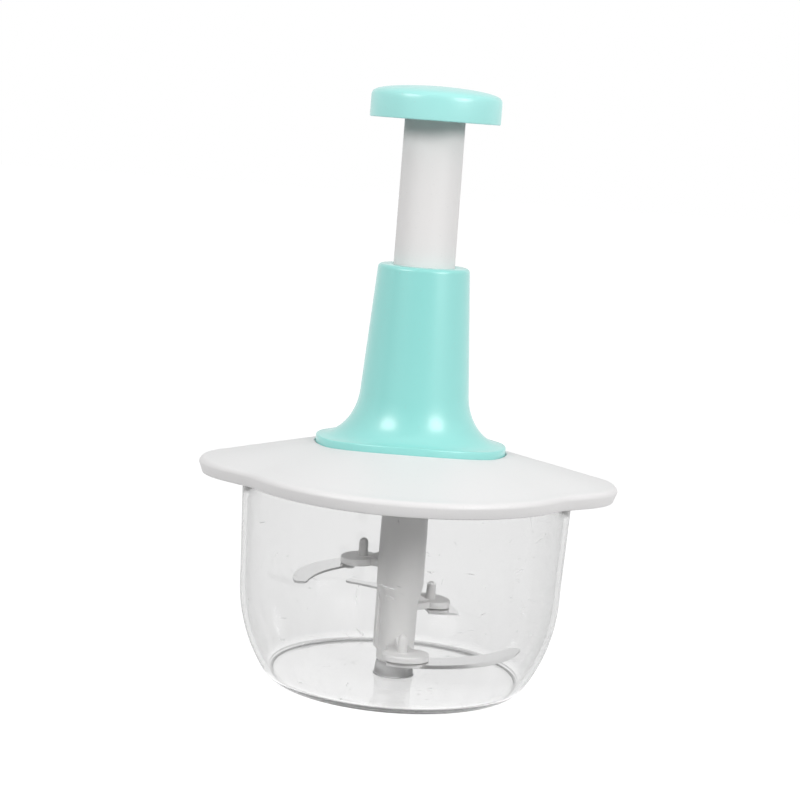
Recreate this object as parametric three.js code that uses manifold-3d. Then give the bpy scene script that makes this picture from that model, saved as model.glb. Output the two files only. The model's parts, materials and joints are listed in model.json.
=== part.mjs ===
// Manual push-down food chopper: a clear bowl with a pivot pin in its floor, a blade unit that turns
// on the pin, and a lid with a tower. Pressing the knob slides a tube down the tower. A slotted nut
// in the tube turns a twisted steel strip, and the strip turns the blades.
// Millimetres, +Z up, +X and -X through the lid's ears, origin at the centre of the bowl's foot.
import * as THREE from "three";
import { mergeVertices } from "three/addons/utils/BufferGeometryUtils.js";
import Module from "manifold-3d";

const wasm = await Module();
wasm.setup();

// Clearances
const seatGap = 0.3; // between faces that rest on each other
const runGap = 0.4; // around a piece that turns or slides
const cutOver = 2; // how far a cut runs past the face that it opens
const weld = 0.001; // corners closer than this are one corner

// Bowl
const bowlHeight = 97;
const bowlRimRadius = 75.7;
const bowlWallLean = 1.9;
const bowlBellyRadius = bowlRimRadius - bowlWallLean;
const bowlBellyShare = 0.495; // of the bowl's height
const bowlBellyHeight = bowlHeight * bowlBellyShare;
const bowlTurnIn = 15; // from the belly in to the toe, above the foot
const bowlToeRadius = bowlBellyRadius - bowlTurnIn;
const bowlCurvePower = 2.3;
const bowlFootInset = 3;
const bowlFootRadius = bowlToeRadius - bowlFootInset;
const bowlFootRise = 2.6;
const bowlWall = 2.2;
const bowlFloor = 2.4;
const bowlFloorInset = 2.1;
const bowlFloorEdgeRadius = bowlToeRadius - bowlFloorInset;
const bowlFloorRise = 2.5;
const bowlRimRound = 0.7;
const bossFootRadius = 9.2;
const bossTopRadius = 8.4;
const bossHeight = 6.2;
const pinRadius = 3;
const pinSocketFloor = 1.4;
const pinLength = 42.4;

// Blade unit: a tapered shaft with three arms, each a third of a turn on and one step lower
const shaftFootGap = 0.6;
const shaftTopRadius = 9.9;
const shaftFootRadius = 8.55;
const socketAcross = 10.2;
const socketDepth = 13.4;
const footBushLength = 12.5;
const footBushRadius = 6.2;
const shaftRibReach = 10.45;
const shaftRibWidth = 3.4;
const shaftRibAngle = 196;
const bladeNames = ["upper", "middle", "lower"];
const bladeLevelShares = [0.535, 0.334, 0.1433]; // of the bowl's height
const bladeLevels = bladeLevelShares.map((share) => bowlHeight * share);
const firstArmAngle = 160;
const padCentreX = 20.5;
const padCentreY = 1.5;
const padHalfLength = 10.8;
const padHalfWidth = 8.2;
const padThickness = 3.2;
const neckHalfWidth = 5.5;
const pegX = 19.3;
const pegRadius = 2.4;
const pegTopRadius = 2.1;
const pegHeight = 8.3;
const gussetHeight = 4;
const gussetReach = 17;
const gussetWidth = 3.2;
const bladeThickness = 1;
const upperBladeAngle = 145;
const middleBladeAngle = 38;
const lowerBladeAngle = -63;
const bladeAngles = [upperBladeAngle, middleBladeAngle, lowerBladeAngle];
const bladeOverhang = 3.7; // how far the blades reach past the edge of the bowl's floor
const bladeReach = bowlFloorEdgeRadius + bladeOverhang;
// The blade's two long edges are arcs, with centre and radius as shares of the blade's reach
const edgeArc = { xShare: -0.333, yShare: 0.2815, radiusShare: 0.9056, rootAngle: -37, tipAngle: 48 };
const backArc = { xShare: -0.752, yShare: 0.381, radiusShare: 1.078, rootAngle: -29.4, tipAngle: 29.4 };
const bladeBevel = 2.4;
const bladeEdgeLand = 0.2;
const stakeRadius = 1.5;
const stakeHeadRadius = 2.6;
const stakeHeadHeight = 1.1;
// The stakes' places, as shares of the blade's reach
const stakeShares = [
  [0.3725, -0.058],
  [0.397, 0.0745],
];

// Lid
const lidOverhang = 5.6; // how far the lid's edge hangs below the bowl's rim
const lidBottomZ = bowlHeight - lidOverhang;
const shaftTopGap = 2.2;
const shaftTopZ = lidBottomZ - shaftTopGap;
const lidEdgeRise = 1.7;
const lidEdgeZ = bowlHeight + lidEdgeRise;
const lidWall = 2.2;
const lidRimGap = 1.1;
const lidRoundRadius = bowlRimRadius + lidRimGap + lidWall;
const earReach = 17;
const earTipRadius = lidRoundRadius + earReach;
const earHalfAngle = 31.5;
const earPower = 1.15;
const lidEdgeRound = 3;
const lidLowerRound = 0.6;
const coneRise = 13.2;
const crownZ = lidEdgeZ + coneRise;
const crownBulge = 0.2;
const deckThickness = 2.6;
const skirtWall = 1.8;
const sealThickness = 1.5;
const sealHeight = 4.3;
const sealLedge = 0.9;
const skirtDrop = 0.5;
const earPocketRoof = 2.5;
const earRibAngle = 6.8;
const earRibHalfAngle = 0.7;
const earPocketEndAngle = 19;

// Tower
const towerHeight = 80.5;
const towerTopZ = crownZ + towerHeight;
const towerFlareRise = 22.2;
const towerFlareZ = crownZ + towerFlareRise;
const tubeRadius = 13.95;
const guideBushWall = 4.55;
const towerWall = 2.2;
const towerTopRadius = tubeRadius + guideBushWall + towerWall;
const towerSpread = 4.1;
const towerFlareRadius = towerTopRadius + towerSpread;
const towerBaseHalfDepth = 35;
const towerBaseStretch = 8.5; // half length over half depth
const towerBaseHalfLength = towerBaseHalfDepth + towerBaseStretch;
const crownInset = 2;
const crownRadius = towerBaseHalfDepth - crownInset;
const towerRimHeight = 3.1;
const towerRimRound = 0.8;
const towerTopRound = 1.8;
const towerTopWall = 2.4;
const recessDepth = 1;
const recessGap = 0.5;
const guideRibWidth = 3;
const guideRibGap = 2.05;
const guideRibReach = tubeRadius + guideRibGap;

// Plunger
const pressTravel = 57;
const knobRestGap = 8; // between knob and tower when pressed right down
const knobBottomZ = towerTopZ + pressTravel + knobRestGap;
const knobRadius = 29.4;
const knobBandHeight = 8.5;
const knobCrownHeight = 6.9;
const knobLowerPower = 4;
const knobUpperPower = 0.6;
const knobWall = 2.2;
const knobLowerRound = 0.6;
const knobSleeveWall = 2.2;
const knobSleeveInset = 2.1;
const knobRibCount = 6;
const knobRibWidth = 1.4;
const knobRibInset = 4;
const knobBossRadius = 4.2;
const knobCrownShares = [0, 0.3, 0.52, 0.7, 0.84, 0.95, 1];
const tubeDraft = 0.35;
const tubeTopRadius = tubeRadius - tubeDraft;
const tubeNutWall = 1.8;
const tubeUpperWall = 2.5;
const knobTopWall = 4;
const tubeTopZ = knobBottomZ + knobBandHeight + knobCrownHeight - knobTopWall;
const tubeWebDepth = 6.8;
const tubeWebZ = tubeTopZ - tubeWebDepth;
const tubeWebThickness = 2;
const flangeRadius = tubeRadius + guideBushWall - seatGap;
const flangeThickness = 3.1;
const bushHeight = 5.3;
const nutRecess = 2;
const nutHeight = 7;
const nutPinRadius = 1;
const nutPinInnerEnd = 6.6;

// Drive
const stripWidth = 9;
const stripThickness = 1.5;
const stripTopRise = 6;
const stripLead = 32;
const stripStepsPerTurn = 20;
const plateRise = 0.6;
const plateThickness = 1.8;
const bearingTubeRadius = 14.6;
const bearingTubeWall = 2;
const bearingTubeRise = 18.6;
const lidHoleRadius = bearingTubeRadius + runGap;
const shelfThickness = 2.5;
const bearingLength = 7.2;
const hubJournalRadius = 9;
const hubDrop = 2.3;
const hubFlangeThickness = 3;
const hubFlangeGap = 0.6;
const hubCollarRadius = 7.5;
const hubCollarHeight = 4.6;
const hubSlotDepth = 13;
const spigotAcross = 9.6;
const spigotLength = 12;
const clipThickness = 0.8;
const clipRadius = 11.4;
const clipGrooveDepth = 1.2;
const seatThickness = 1.2;
const seatHoleRadius = 6;
const seatRimHeight = 2.5;
const seatRimWall = 1.1;
const springWireRadius = 0.6;
const springInset = 1.45;
const springRadius = tubeRadius - tubeNutWall - springInset;
const springTurns = 8;
const springEndPitch = 2;
const screwInset = 20.5;
const screwX = towerBaseHalfLength - screwInset;
const screwY = 8;
const screwRadius = 1.4;
const screwHeadRadius = 3;
const screwHeadHeight = 2;
const plateScrewLength = 16;
const knobScrewLength = 8.2;
const postRadius = 4.7;
const postSeatHeight = 6;
const towerBossRadius = 4;
const towerBossHeight = 9.5;

// How finely each kind of round is cut
const bowlSides = 38;
const lidSides = 44;
const lidBunching = 0.18;
const towerSides = 32;
const knobSides = 28;
const pieceSides = 20;
const smallSides = 8;
const springSides = 5;
const springSteps = 8;

const turn = 2 * Math.PI;
const radians = THREE.MathUtils.degToRad;
const steps = (count) => Array.from({ length: count + 1 }, (_, i) => i / count);

// A closed geometry as a solid. Flat slivers at the poles are dropped, and a shape that was drawn
// the other way round is turned inside out.
function solidOf(geometry) {
  const bare = new THREE.BufferGeometry();
  bare.setAttribute("position", geometry.getAttribute("position"));
  bare.setIndex(geometry.index);
  const merged = mergeVertices(bare, weld);
  const corners = Array.from(merged.index.array);
  const kept = [];
  for (let i = 0; i < corners.length; i += 3) {
    const [a, b, c] = corners.slice(i, i + 3);
    if (a !== b && b !== c && c !== a) kept.push(a, b, c);
  }
  const vertProperties = merged.getAttribute("position").array;
  const make = (list) => {
    const mesh = { numProp: 3, vertProperties, triVerts: new Uint32Array(list) };
    return new wasm.Manifold(new wasm.Mesh(mesh));
  };
  const solid = make(kept);
  return solid.volume() < 0 ? make(kept.reverse()) : solid;
}

function geometryOf(solid) {
  const { vertProperties, triVerts } = solid.getMesh();
  const geometry = new THREE.BufferGeometry();
  geometry.setAttribute("position", new THREE.BufferAttribute(vertProperties, 3));
  geometry.setIndex(new THREE.BufferAttribute(triVerts, 1));
  geometry.computeVertexNormals();
  return geometry;
}

const joined = (first, ...others) => others.reduce((sum, other) => sum.add(other), first);
const cut = (first, ...others) => others.reduce((rest, other) => rest.subtract(other), first);

// A solid turned about the Z axis. The profile is a list of [radius, height], which ends where it
// starts or has both its ends on the axis.
function turned(profile, sides) {
  const onAxis = profile[0][0] === 0 && profile.at(-1)[0] === 0;
  const closed = onAxis ? profile : [...profile, profile[0]];
  const points = closed.map(([radius, z]) => new THREE.Vector2(radius, z));
  return solidOf(new THREE.LatheGeometry(points, sides).rotateX(Math.PI / 2));
}

// A plain cylinder between two heights, on an upright axis through x and y.
function cylinder(radius, lowZ, highZ, sides, x = 0, y = 0) {
  const geometry = new THREE.CylinderGeometry(radius, radius, highZ - lowZ, sides);
  geometry.rotateX(Math.PI / 2).translate(x, y, (lowZ + highZ) / 2);
  return solidOf(geometry);
}

// An outline in the XY plane raised between two heights.
function prism(shape, lowZ, highZ, curveSegments = 6) {
  const options = { depth: highZ - lowZ, bevelEnabled: false, curveSegments };
  return solidOf(new THREE.ExtrudeGeometry(shape, options).translate(0, 0, lowZ));
}

function polygon(points) {
  return new THREE.Shape(points.map(([x, y]) => new THREE.Vector2(x, y)));
}

function hexagon(across) {
  const corner = across / Math.sqrt(3);
  const corners = steps(6).slice(1).map((share) => share * turn);
  return polygon(corners.map((angle) => [corner * Math.cos(angle), corner * Math.sin(angle)]));
}

// A closed surface through rows of points. Each row closes on itself, and the rows run on from the
// first to the last: round and back to the first in a ring, or to a flat cap at each end in a bar.
function rowSurface(rows, isRing) {
  const count = rows[0].length;
  const index = [];
  const last = isRing ? rows.length : rows.length - 1;
  for (let i = 0; i < last; i++) {
    const here = i * count;
    const next = ((i + 1) % rows.length) * count;
    for (let j = 0; j < count; j++) {
      const k = (j + 1) % count;
      index.push(here + j, here + k, next + k, here + j, next + k, next + j);
    }
  }
  if (!isRing) {
    const end = (rows.length - 1) * count;
    for (let j = 1; j < count - 1; j++) {
      index.push(0, j + 1, j, end, end + j, end + j + 1);
    }
  }
  const geometry = new THREE.BufferGeometry();
  geometry.setAttribute("position", new THREE.Float32BufferAttribute(rows.flat(2), 3));
  geometry.setIndex(index);
  return solidOf(geometry);
}

// A turned solid whose profile changes with the angle about the Z axis. The angles lie closer
// together by the ears.
function shapedRing(profileAt, sides) {
  const angles = steps(sides)
    .slice(1)
    .map((share) => share * turn - lidBunching * Math.sin(2 * share * turn));
  const rows = angles.map((angle) =>
    profileAt(angle).map(([r, z]) => [r * Math.cos(angle), r * Math.sin(angle), z]),
  );
  return rowSurface(rows, true);
}

function plastic(color, roughness) {
  return new THREE.MeshStandardMaterial({ color, roughness, metalness: 0 });
}

const materials = {
  clear: new THREE.MeshStandardMaterial({
    color: 0xf2f5f5,
    roughness: 0.08,
    metalness: 0,
    transparent: true,
    opacity: 0.3,
  }),
  mint: plastic(0x96dcd5, 0.22),
  white: plastic(0xececec, 0.4),
  grey: plastic(0xd4d4d2, 0.42),
  natural: plastic(0xe6e3da, 0.5),
  silicone: plastic(0xe9e9e6, 0.75),
  steel: new THREE.MeshStandardMaterial({ color: 0xc4c6c8, roughness: 0.25, metalness: 1 }),
};

function piece(name, material, solid) {
  const mesh = new THREE.Mesh(geometryOf(solid), material);
  mesh.name = name;
  return mesh;
}

// Bowl

function bowlSlope(z) {
  const share = Math.max(0, 1 - z / bowlBellyHeight);
  const drop = bowlBellyRadius - bowlToeRadius;
  return (drop * bowlCurvePower * share ** (bowlCurvePower - 1)) / bowlBellyHeight;
}

function bowlOutside(z) {
  if (z > bowlBellyHeight) {
    const share = (z - bowlBellyHeight) / (bowlHeight - bowlBellyHeight);
    return THREE.MathUtils.lerp(bowlBellyRadius, bowlRimRadius, share);
  }
  const share = 1 - z / bowlBellyHeight;
  return bowlBellyRadius - (bowlBellyRadius - bowlToeRadius) * share ** bowlCurvePower;
}

const bowlInside = (z) => bowlOutside(z) - bowlWall * Math.hypot(1, bowlSlope(z));

// Where the flat foot or floor turns up into the wall, as a share of the way out and of the rise
function turnUp(flatRadius, wallRadius, flatZ, rise) {
  return steps(3).map((share) => [
    THREE.MathUtils.lerp(flatRadius, wallRadius, share),
    flatZ + rise * share ** 1.8,
  ]);
}

// The wall's heights from its turn to the belly, closer together near the floor
function wallHeights(fromZ, count) {
  const rise = bowlBellyHeight - fromZ;
  return steps(count).slice(1).map((share) => fromZ + rise * share ** 1.4);
}

const bossTopZ = bowlFloor + bossHeight;
const pinFootZ = pinSocketFloor + seatGap;
const pinTopZ = pinFootZ + pinLength;

function makeBowl() {
  const rimCorner = bowlRimRound * (1 - Math.SQRT1_2);
  const innerRim = bowlRimRadius - bowlWall;
  const floorTopZ = bowlFloor + bowlFloorRise;
  const outside = [
    [0, 0],
    ...turnUp(bowlFootRadius, bowlOutside(bowlFootRise), 0, bowlFootRise),
    ...wallHeights(bowlFootRise, 5).map((z) => [bowlOutside(z), z]),
    [bowlRimRadius, bowlHeight - bowlRimRound],
    [bowlRimRadius - rimCorner, bowlHeight - rimCorner],
    [bowlRimRadius - bowlRimRound, bowlHeight],
  ];
  const inside = [
    ...turnUp(bowlFloorEdgeRadius, bowlInside(floorTopZ), bowlFloor, bowlFloorRise),
    ...wallHeights(floorTopZ, 4).map((z) => [bowlInside(z), z]),
    [innerRim, bowlHeight - bowlRimRound],
    [innerRim + rimCorner, bowlHeight - rimCorner],
    [innerRim + bowlRimRound, bowlHeight],
  ];
  const boss = [
    [bossFootRadius, bowlFloor],
    [bossTopRadius, bossTopZ],
    [pinRadius + seatGap, bossTopZ],
    [pinRadius + seatGap, pinSocketFloor],
    [0, pinSocketFloor],
  ];
  return turned([...outside, ...inside.reverse(), ...boss], bowlSides);
}

function makePivotPin() {
  const dome = steps(4).map((share) => [
    pinRadius * Math.cos((share * turn) / 4),
    pinTopZ - pinRadius + pinRadius * Math.sin((share * turn) / 4),
  ]);
  const top = dome.slice(0, -1);
  return turned([[0, pinFootZ], [pinRadius, pinFootZ], ...top, [0, pinTopZ]], smallSides);
}

// Blade unit

const shaftFootZ = bossTopZ + shaftFootGap;
const footBushZ = shaftFootZ + seatGap;
const footBushTopZ = footBushZ + footBushLength;

function shaftRadius(z) {
  const share = (z - shaftFootZ) / (shaftTopZ - shaftFootZ);
  return THREE.MathUtils.lerp(shaftFootRadius, shaftTopRadius, share);
}

const stakeSpots = stakeShares.map(([x, y]) => [bladeReach * x, bladeReach * y]);

// One arm, along +X, with the blade's middle plane at height zero: a neck and an oval pad over the
// blade, an upright peg, a gusset up the shaft, and two stakes through the blade with spread heads.
function makeArm(shaftSurface) {
  const padLowZ = bladeThickness / 2 + seatGap;
  const padHighZ = padLowZ + padThickness;
  const oval = new THREE.Shape();
  oval.absellipse(padCentreX, padCentreY, padHalfWidth, padHalfLength, 0, turn, false, 0);
  const neck = polygon([
    [0, -neckHalfWidth],
    [padCentreX, -neckHalfWidth],
    [padCentreX, neckHalfWidth],
    [0, neckHalfWidth],
  ]);
  const pegShoulderZ = padHighZ + pegHeight - pegTopRadius;
  const peg = turned(
    [
      [0, padLowZ + padThickness / 2],
      [pegRadius, padLowZ + padThickness / 2],
      ...steps(3).slice(0, -1).map((share) => [
        pegTopRadius * Math.cos((share * turn) / 4),
        pegShoulderZ + pegTopRadius * Math.sin((share * turn) / 4),
      ]),
      [0, padHighZ + pegHeight],
    ],
    smallSides,
  ).translate([pegX, 0, 0]);
  const gussetRoot = shaftSurface / 2;
  const gusset = prism(
    polygon([
      [gussetRoot, padLowZ + padThickness / 2],
      [gussetReach, padLowZ + padThickness / 2],
      [gussetReach, padHighZ],
      [shaftSurface, padHighZ + gussetHeight],
      [gussetRoot, padHighZ + gussetHeight],
    ]),
    -gussetWidth / 2,
    gussetWidth / 2,
  ).rotate([90, 0, 0]);
  const headTopZ = -bladeThickness / 2 - seatGap;
  const stakes = stakeSpots.flatMap(([x, y]) => [
    cylinder(stakeRadius, headTopZ - stakeHeadHeight / 2, padLowZ + padThickness / 2, smallSides, x, y),
    cylinder(stakeHeadRadius, headTopZ - stakeHeadHeight, headTopZ, smallSides, x, y),
  ]);
  const pad = prism(oval, padLowZ, padHighZ, 10);
  return joined(pad, prism(neck, padLowZ, padHighZ), peg, gusset, ...stakes);
}

const armAngle = (level) => firstArmAngle - (level * 360) / bladeLevels.length;

function makeBladeShaft() {
  const bushBore = footBushRadius + seatGap;
  const pinBore = pinRadius + runGap;
  const core = turned(
    [
      [bushBore, shaftFootZ],
      [shaftFootRadius, shaftFootZ],
      [shaftTopRadius, shaftTopZ],
      [0, shaftTopZ],
      [0, pinTopZ + seatGap],
      [pinBore, pinTopZ + seatGap],
      [pinBore, footBushTopZ + seatGap],
      [bushBore, footBushTopZ + seatGap],
    ],
    pieceSides,
  );
  const arms = bladeLevels.map((z, level) => {
    const hollow = cylinder(bushBore, -shaftTopZ, shaftTopZ, pieceSides);
    return cut(makeArm(shaftRadius(z)), hollow)
      .rotate([0, 0, armAngle(level)])
      .translate([0, 0, z]);
  });
  const ribTopZ = bladeLevels[0] - bladeThickness;
  const ribLowZ = bladeLevels[2];
  const rib = prism(
    polygon([
      [bushBore, ribLowZ],
      [shaftRadius(ribLowZ), ribLowZ],
      [shaftRibReach, ribLowZ + shaftRibReach - shaftFootRadius],
      [shaftRibReach, ribTopZ],
      [bushBore, ribTopZ],
    ]),
    -shaftRibWidth / 2,
    shaftRibWidth / 2,
  )
    .rotate([90, 0, 0])
    .rotate([0, 0, shaftRibAngle]);
  const socket = prism(hexagon(socketAcross), shaftTopZ - socketDepth, shaftTopZ + cutOver);
  return cut(joined(core, rib, ...arms), socket);
}

function makeFootBush() {
  const bore = pinRadius + seatGap;
  return turned(
    [
      [bore, footBushZ],
      [footBushRadius, footBushZ],
      [footBushRadius, footBushTopZ],
      [bore, footBushTopZ],
    ],
    pieceSides,
  );
}

// A place on one of the blade's two long edges, as a share of the way from its root to its tip
function bladeArc({ xShare, yShare, radiusShare, rootAngle, tipAngle }, share) {
  const angle = radians(THREE.MathUtils.lerp(rootAngle, tipAngle, share));
  const centre = new THREE.Vector2(xShare, yShare);
  const outward = new THREE.Vector2(Math.cos(angle), Math.sin(angle));
  return centre.addScaledVector(outward, radiusShare).multiplyScalar(bladeReach);
}

// A section across the blade: a flat bar with the ground bevel on top of its cutting edge
function bladeSection(back, edge) {
  const half = bladeThickness / 2;
  const bevel = Math.min(bladeBevel / edge.distanceTo(back), 1 / 2);
  const shoulder = edge.clone().lerp(back, bevel);
  return [
    [back.x, back.y, -half],
    [edge.x, edge.y, -half],
    [edge.x, edge.y, bladeEdgeLand - half],
    [shoulder.x, shoulder.y, half],
    [back.x, back.y, half],
  ];
}

// A curved blade with a ground cutting edge and a round tip, turned to its place on the shaft. The
// stake holes lie under the pad of its arm.
function makeBlade(level) {
  const body = steps(12).map((share) =>
    bladeSection(bladeArc(backArc, share), bladeArc(edgeArc, share)),
  );
  const lastBack = bladeArc(backArc, 1);
  const lastEdge = bladeArc(edgeArc, 1);
  const middle = lastBack.clone().lerp(lastEdge, 1 / 2);
  const across = lastEdge.clone().sub(middle);
  const along = new THREE.Vector2(-across.y, across.x);
  const tip = steps(5).slice(1, -1).map((share) => {
    const bend = (share * turn) / 4;
    const spine = middle.clone().addScaledVector(along, Math.sin(bend));
    const back = spine.clone().addScaledVector(across, -Math.cos(bend));
    const edge = spine.clone().addScaledVector(across, Math.cos(bend));
    return bladeSection(back, edge);
  });
  const blade = rowSurface([...body, ...tip], false).rotate([0, 0, bladeAngles[level]]);
  const holes = stakeSpots.map(([x, y]) =>
    cylinder(stakeRadius + seatGap, -bladeThickness, bladeThickness, smallSides, x, y).rotate([
      0,
      0,
      armAngle(level),
    ]),
  );
  return cut(blade, ...holes).translate([0, 0, bladeLevels[level]]);
}

// Lid

// The lid's outline seen from above: a circle with a rounded ear on each side along X
function lidRadius(angle) {
  const fromEar = Math.abs(Math.atan2(Math.sin(angle), Math.abs(Math.cos(angle))));
  const share = Math.min(1, fromEar / radians(earHalfAngle));
  const ear = Math.cos((share ** earPower * Math.PI) / 2) ** 2;
  return lidRoundRadius + (earTipRadius - lidRoundRadius) * ear;
}

// The height of the lid's top face: a shallow cone with a little bulge, from its edge to the crown
function lidTop(angle, radius) {
  const edge = lidRadius(angle) - lidEdgeRound;
  const share = THREE.MathUtils.clamp((edge - radius) / (edge - crownRadius), 0, 1);
  return lidEdgeZ + (crownZ - lidEdgeZ) * share + crownBulge * Math.sin(share * Math.PI);
}

// The tower's oval foot, seen from above
function ovalRadius(angle) {
  const x = Math.cos(angle) / towerBaseHalfLength;
  const y = Math.sin(angle) / towerBaseHalfDepth;
  return 1 / Math.hypot(x, y);
}

const grooveTopZ = bowlHeight + seatGap;
const skirtBottomZ = lidBottomZ + skirtDrop;
const sealOuterRadius = bowlInside(skirtBottomZ) - seatGap;
const skirtOuterRadius = sealOuterRadius - sealThickness - seatGap;
const skirtInnerRadius = skirtOuterRadius - skirtWall;
const grooveOuterRadius = lidRoundRadius - lidWall;
const deckUnderZ = crownZ - deckThickness;
const screwSpots = [
  [screwX, screwY],
  [-screwX, screwY],
  [-screwX, -screwY],
  [screwX, -screwY],
];

function lidProfile(angle) {
  const outline = lidRadius(angle);
  const recess = ovalRadius(angle) + recessGap;
  const edgeRound = steps(2).map((share) => [
    outline - lidEdgeRound * (1 - Math.cos((share * turn) / 4)),
    lidEdgeZ - lidEdgeRound * (1 - Math.sin((share * turn) / 4)),
  ]);
  const middle = (outline - lidEdgeRound + recess) / 2;
  return [
    [outline - lidLowerRound, lidBottomZ],
    [outline, lidBottomZ + lidLowerRound],
    ...edgeRound,
    [middle, lidTop(angle, middle)],
    [recess, lidTop(angle, recess)],
    [recess, lidTop(angle, recess) - recessDepth],
    [crownRadius, crownZ - recessDepth],
    [lidHoleRadius, crownZ - recessDepth],
    [lidHoleRadius, deckUnderZ],
    [crownRadius, deckUnderZ],
    [skirtInnerRadius, lidTop(angle, skirtInnerRadius) - deckThickness],
    [skirtInnerRadius, skirtBottomZ],
    [skirtOuterRadius + sealLedge, skirtBottomZ],
    [skirtOuterRadius + sealLedge, skirtBottomZ + skirtDrop],
    [skirtOuterRadius, skirtBottomZ + skirtDrop],
    [skirtOuterRadius, grooveTopZ],
    [grooveOuterRadius, grooveTopZ],
    [grooveOuterRadius, lidBottomZ],
  ];
}

// The hollows under an ear, between its ribs
function earPocket(fromDegrees, toDegrees) {
  const angles = steps(5).map((share) =>
    radians(THREE.MathUtils.lerp(fromDegrees, toDegrees, share)),
  );
  const at = (radius, angle) => [radius * Math.cos(angle), radius * Math.sin(angle)];
  const inner = angles.map((angle) => at(grooveOuterRadius + lidWall, angle));
  const outer = angles.map((angle) => at(lidRadius(angle) - lidWall, angle));
  const roofZ = lidEdgeZ - earPocketRoof;
  return prism(polygon([...outer, ...inner.reverse()]), lidBottomZ - cutOver, roofZ);
}

function makeLid() {
  const ribs = [-earRibAngle, earRibAngle];
  const pocketEnds = [
    [-earPocketEndAngle, ribs[0] - earRibHalfAngle],
    [ribs[0] + earRibHalfAngle, ribs[1] - earRibHalfAngle],
    [ribs[1] + earRibHalfAngle, earPocketEndAngle],
  ];
  const pockets = [0, 180].flatMap((side) =>
    pocketEnds.map(([from, to]) => earPocket(side + from, side + to)),
  );
  const holes = screwSpots.map(([x, y]) =>
    cylinder(screwRadius + seatGap, deckUnderZ - cutOver, crownZ + cutOver, smallSides, x, y),
  );
  return cut(shapedRing(lidProfile, lidSides), ...pockets, ...holes);
}

function makeSeal() {
  const innerRadius = sealOuterRadius - sealThickness;
  const topZ = grooveTopZ - seatGap;
  const lowZ = topZ - sealHeight;
  const lip = sealThickness / 3;
  return turned(
    [
      [innerRadius, lowZ],
      [sealOuterRadius - lip, lowZ],
      [sealOuterRadius, lowZ + lip],
      [sealOuterRadius - lip, lowZ + 2 * lip],
      [sealOuterRadius - lip, topZ],
      [innerRadius, topZ],
    ],
    bowlSides,
  );
}

// Tower

const towerTaper = (z) => {
  const share = (z - towerFlareZ) / (towerTopZ - towerFlareZ);
  return THREE.MathUtils.lerp(towerFlareRadius, towerTopRadius, share);
};
const towerInside = (z) => towerTaper(z) - towerWall;
const towerRoofZ = towerTopZ - towerTopWall;
const towerHoleRadius = tubeRadius + runGap;

// The skirt is a quarter of an ellipse in every upright cut, from the taper out to the oval foot.
// Each place on it gives the point of the outer face and the point of the inner face behind it.
function skirtPoints(angle, share) {
  const foot = ovalRadius(angle);
  const rimTopZ = lidTop(angle, foot) + towerRimHeight;
  const height = towerFlareZ - rimTopZ;
  const reach = foot - towerRimRound - towerTaper(rimTopZ);
  const bend = (share * turn) / 4;
  const z = towerFlareZ - height * Math.sin(bend);
  const radius = towerTaper(z) + reach * (1 - Math.cos(bend));
  const normal = new THREE.Vector2(height * Math.cos(bend), reach * Math.sin(bend)).normalize();
  return {
    outer: [radius, z],
    inner: [radius - towerWall * normal.x, z - towerWall * normal.y],
  };
}

const skirtShares = [0, 0.26, 0.48, 0.68, 0.86, 1];

function towerProfile(angle) {
  const foot = ovalRadius(angle);
  const rimTopZ = lidTop(angle, foot) + towerRimHeight;
  const footZ = (radius) => lidTop(angle, radius) - recessDepth + seatGap;
  const skirt = skirtShares.map((share) => skirtPoints(angle, share));
  const topRound = steps(3).map((share) => [
    towerTaper(towerTopZ - towerTopRound) - towerTopRound * (1 - Math.cos((share * turn) / 4)),
    towerTopZ - towerTopRound * (1 - Math.sin((share * turn) / 4)),
  ]);
  return [
    [foot - towerWall, footZ(foot - towerWall)],
    [foot, footZ(foot)],
    [foot, rimTopZ - towerRimRound],
    ...skirt.map(({ outer }) => outer).reverse(),
    ...topRound,
    [towerHoleRadius, towerTopZ],
    [towerHoleRadius, towerRoofZ],
    [towerInside(towerRoofZ), towerRoofZ],
    ...skirt.filter((_, i) => i % 2 === 0 || i === skirt.length - 1).map(({ inner }) => inner),
  ];
}

function makeTower() {
  const lowZ = crownZ - recessDepth + seatGap;
  const shell = shapedRing(towerProfile, towerSides);
  const ribRoot = towerInside(towerRoofZ) + towerWall / 2;
  const ribFoot = towerInside(towerFlareZ) + towerWall / 2;
  const rib = prism(
    polygon([
      [guideRibReach, lowZ],
      [ribFoot, lowZ],
      [ribFoot, towerFlareZ],
      [ribRoot, towerRoofZ + towerTopWall / 2],
      [guideRibReach, towerRoofZ + towerTopWall / 2],
    ]),
    -guideRibWidth / 2,
    guideRibWidth / 2,
  ).rotate([90, 0, 0]);
  const bosses = screwSpots.map(([x, y]) =>
    cylinder(towerBossRadius, lowZ, lowZ + towerBossHeight, smallSides, x, y),
  );
  const pilots = screwSpots.map(([x, y]) =>
    cylinder(
      screwRadius + seatGap,
      lowZ - cutOver,
      plateScrewTopZ + seatGap,
      smallSides,
      x,
      y,
    ),
  );
  const ribs = [90, 270].map((degrees) => rib.rotate([0, 0, degrees]));
  return cut(joined(shell, ...ribs, ...bosses), ...pilots);
}

// The bush that guides the tube, under the tower's roof, notched for the two guide ribs
const bushTopZ = towerRoofZ - seatGap;
const bushLowZ = bushTopZ - bushHeight;

function ribNotches(lowZ, highZ) {
  const halfWidth = guideRibWidth / 2 + runGap;
  const inner = guideRibReach - runGap;
  return [1, -1].map((side) =>
    prism(
      polygon([
        [-halfWidth, side * inner],
        [halfWidth, side * inner],
        [halfWidth, side * towerFlareRadius],
        [-halfWidth, side * towerFlareRadius],
      ]),
      lowZ - cutOver,
      highZ + cutOver,
    ),
  );
}

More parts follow.
